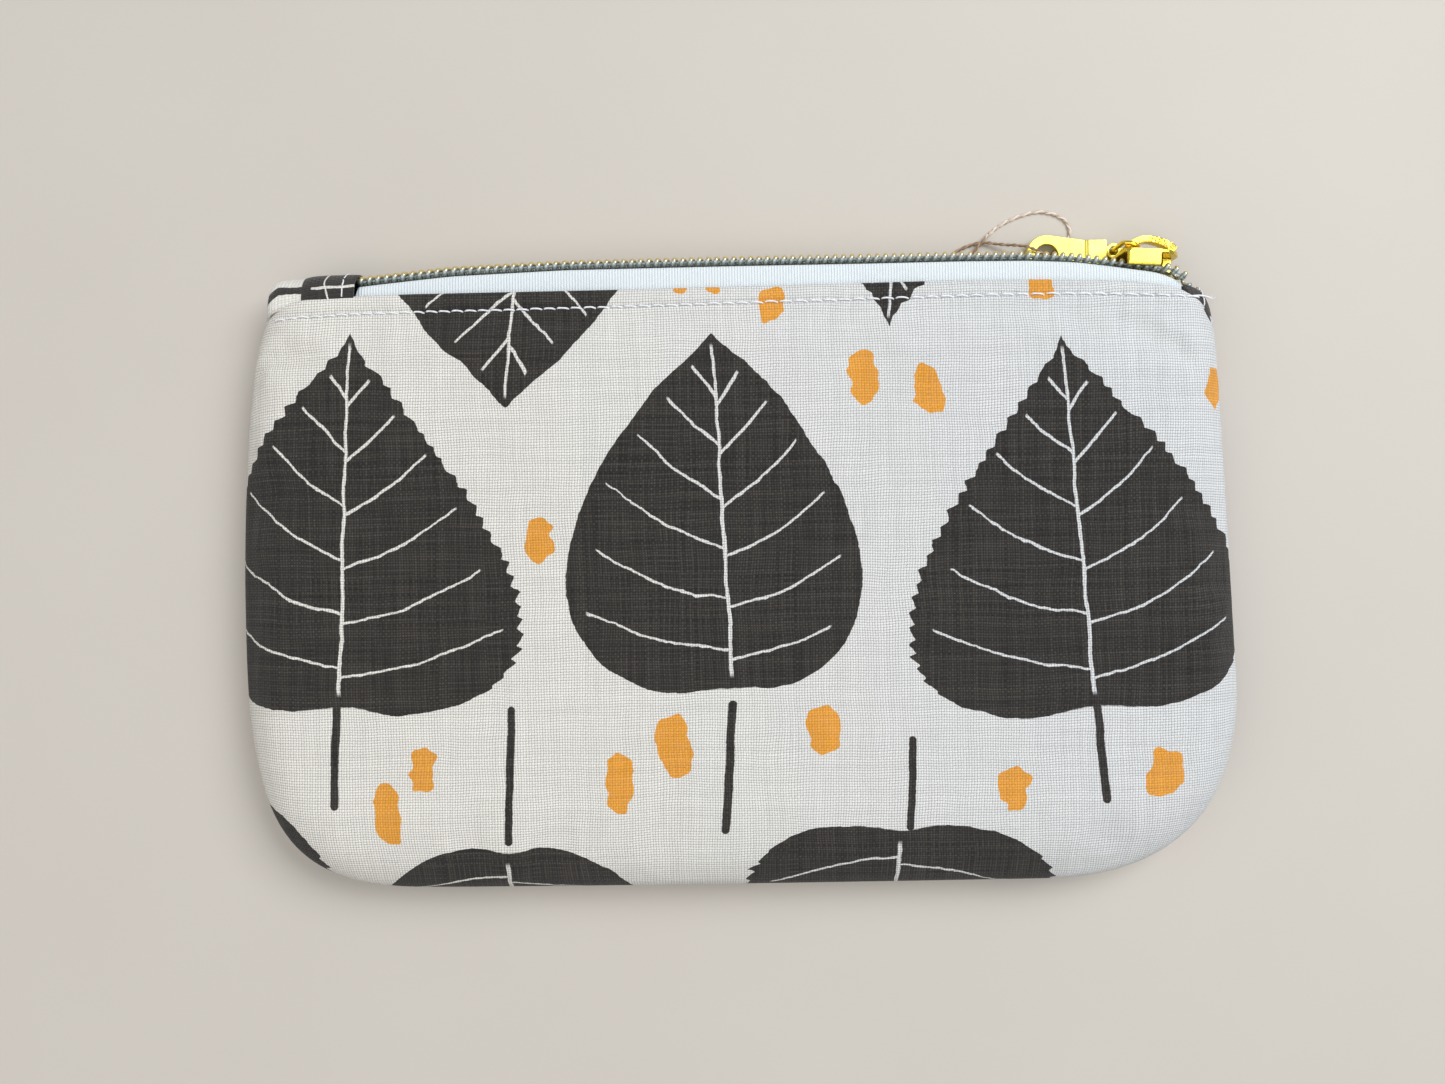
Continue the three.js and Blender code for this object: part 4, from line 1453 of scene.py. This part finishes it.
def knot_strands():
    """The string's two strands, tied in an overhand knot and ending in two short tails."""
    t = np.linspace(0.15, 2 * math.pi - 0.15, 60)
    turns = np.stack([
        (np.sin(t) + 2 * np.sin(2 * t)) * 0.21, (np.cos(t) - 2 * np.cos(2 * t)) * 0.21,
        -np.sin(3 * t) * 0.3,
    ], 1) + np.array(KNOT_AT)
    into = [STRING[0], (32.9, 53.1, 0.5)]
    tail = [(30.4, 52.2, 0.5), (29.2, 51.7, 0.3), (28.3, 51.6, 0.28)]
    first = smooth_through(np.concatenate([into, turns[::6], tail]), 10)
    second = smooth_through([
        STRING[-1], (32.8, 52.2, 0.6), (32.0, 52.6, 1.1), (31.2, 52.9, 0.9), (30.3, 53.1, 0.4),
        (29.4, 53.3, 0.28),
    ], 14)
    return first, second


def ply_piece(name, lines, radius, material, node):
    parts, plies = [], []
    for line in lines:
        points, faces = two_ply(line, radius, 2.3)
        parts.append((above_floor(points, 0.02), faces))
        ply = np.zeros_like(points)
        ply[len(points) // 2 :, 0] = 1
        plies.append(ply)
    points, faces = many(parts)
    mesh = mesh_of(name, points, faces, np.concatenate(plies))
    return add_object(name, mesh, material, body="pull", replaces=[node])


def tag_string(material):
    line = smooth_through(STRING, 14)
    cord = ply_piece("tag_cord", [line], STRING_R, material, "tag_string")
    knot = ply_piece("tag_knot", knot_strands(), STRING_R * 0.95, material, "tag_string_knot")


# ---------------------------------------------------------------- build
def make_floor():
    mesh = bpy.data.meshes.new("floor")
    mesh.from_pydata([(-3, -3, 0), (3, -3, 0), (3, 3, 0), (-3, 3, 0)], [], [[0, 1, 2, 3]])
    floor = linked("floor", mesh)
    material, tree = new_material("pale floor", Roughness=0.7)
    grain = noise(place_mm(tree), 0.02, 3.0)
    color = mix(grain, (0.50, 0.46, 0.41), (0.53, 0.49, 0.44))
    plug(color, shader_inputs(material)["Base Color"])
    mesh.materials.append(material)


bpy.context.scene.view_settings.view_transform = "Standard"
make_camera()
make_lights()
make_floor()
tag_string(string_material())

canvas = canvas_material(leaf_group())
thread = thread_material()
puff = simulated_puff()
for half in ("front", "back"):
    topstitching(half, outer_panel(half, puff, canvas), thread)

fleece = plain_cloth("fusible fleece", (0.80, 0.79, 0.77), 0.9, False, 0.2)
cotton = plain_cloth("lining cotton", (0.74, 0.71, 0.66), 0.36, True, 0.08)
for half in ("front", "back"):
    pad, _ = inner_panel(f"fleece_{half}", half, puff, 0.75, 0.5, 10.5, fleece,
                         f"interfacing_{half}")
    lining, area = inner_panel(f"lining_cloth_{half}", half, puff, 1.9, 0.4, 1.8, cotton,
                               f"lining_{half}")
seam_stitches("seam_stitches", 0.75, 0.14, 2.4, thread, "outer_seam_thread", None)
seam_stitches("lining_stitches", 2.6, 0.12, 2.4, thread, "lining_seam_thread", 44.0)

tape_cloth, wire, core = tape_material(), loop_material(), core_material()
for half in ("front", "back"):
    zip_tape(half, tape_cloth)
    coil_row(half, wire, core)

cast_gold = gold_material("cast gold", (0.86, 0.66, 0.09), 0.17, True)
plate_gold = gold_material("gold plate", (0.83, 0.73, 0.155), 0.34, False)
cast_copy("slider_casting", "slider_body", 0.11, 5, cast_gold, "slider",
          [deeper_flanges, longer_arch])
cast_copy("link_wire", "pull_link", 0.07, 4, cast_gold, "link")
cast_copy("pull_plate", "pull_tab", 0.09, 5, plate_gold, "pull", [pull_groove])

tab_mesh("tab_cloth_left", LEFT_TAB, tab_material("tab canvas left", True),
         "zip_end_tab_left", 0, 4)
tab_mesh("tab_cloth_right", RIGHT_TAB, tab_material("tab canvas right", False),
         "zip_end_tab_right", 0.5, 9)
tab_stitches("tab_stitches_left", -68.6, LEFT_TAB, 9, thread, "tab_stitch_left", 0.12)
tab_stitches("tab_stitches_right", 82.2, RIGHT_TAB, 7, thread, "tab_stitch_right", 0.11)

frayed_end(thread)
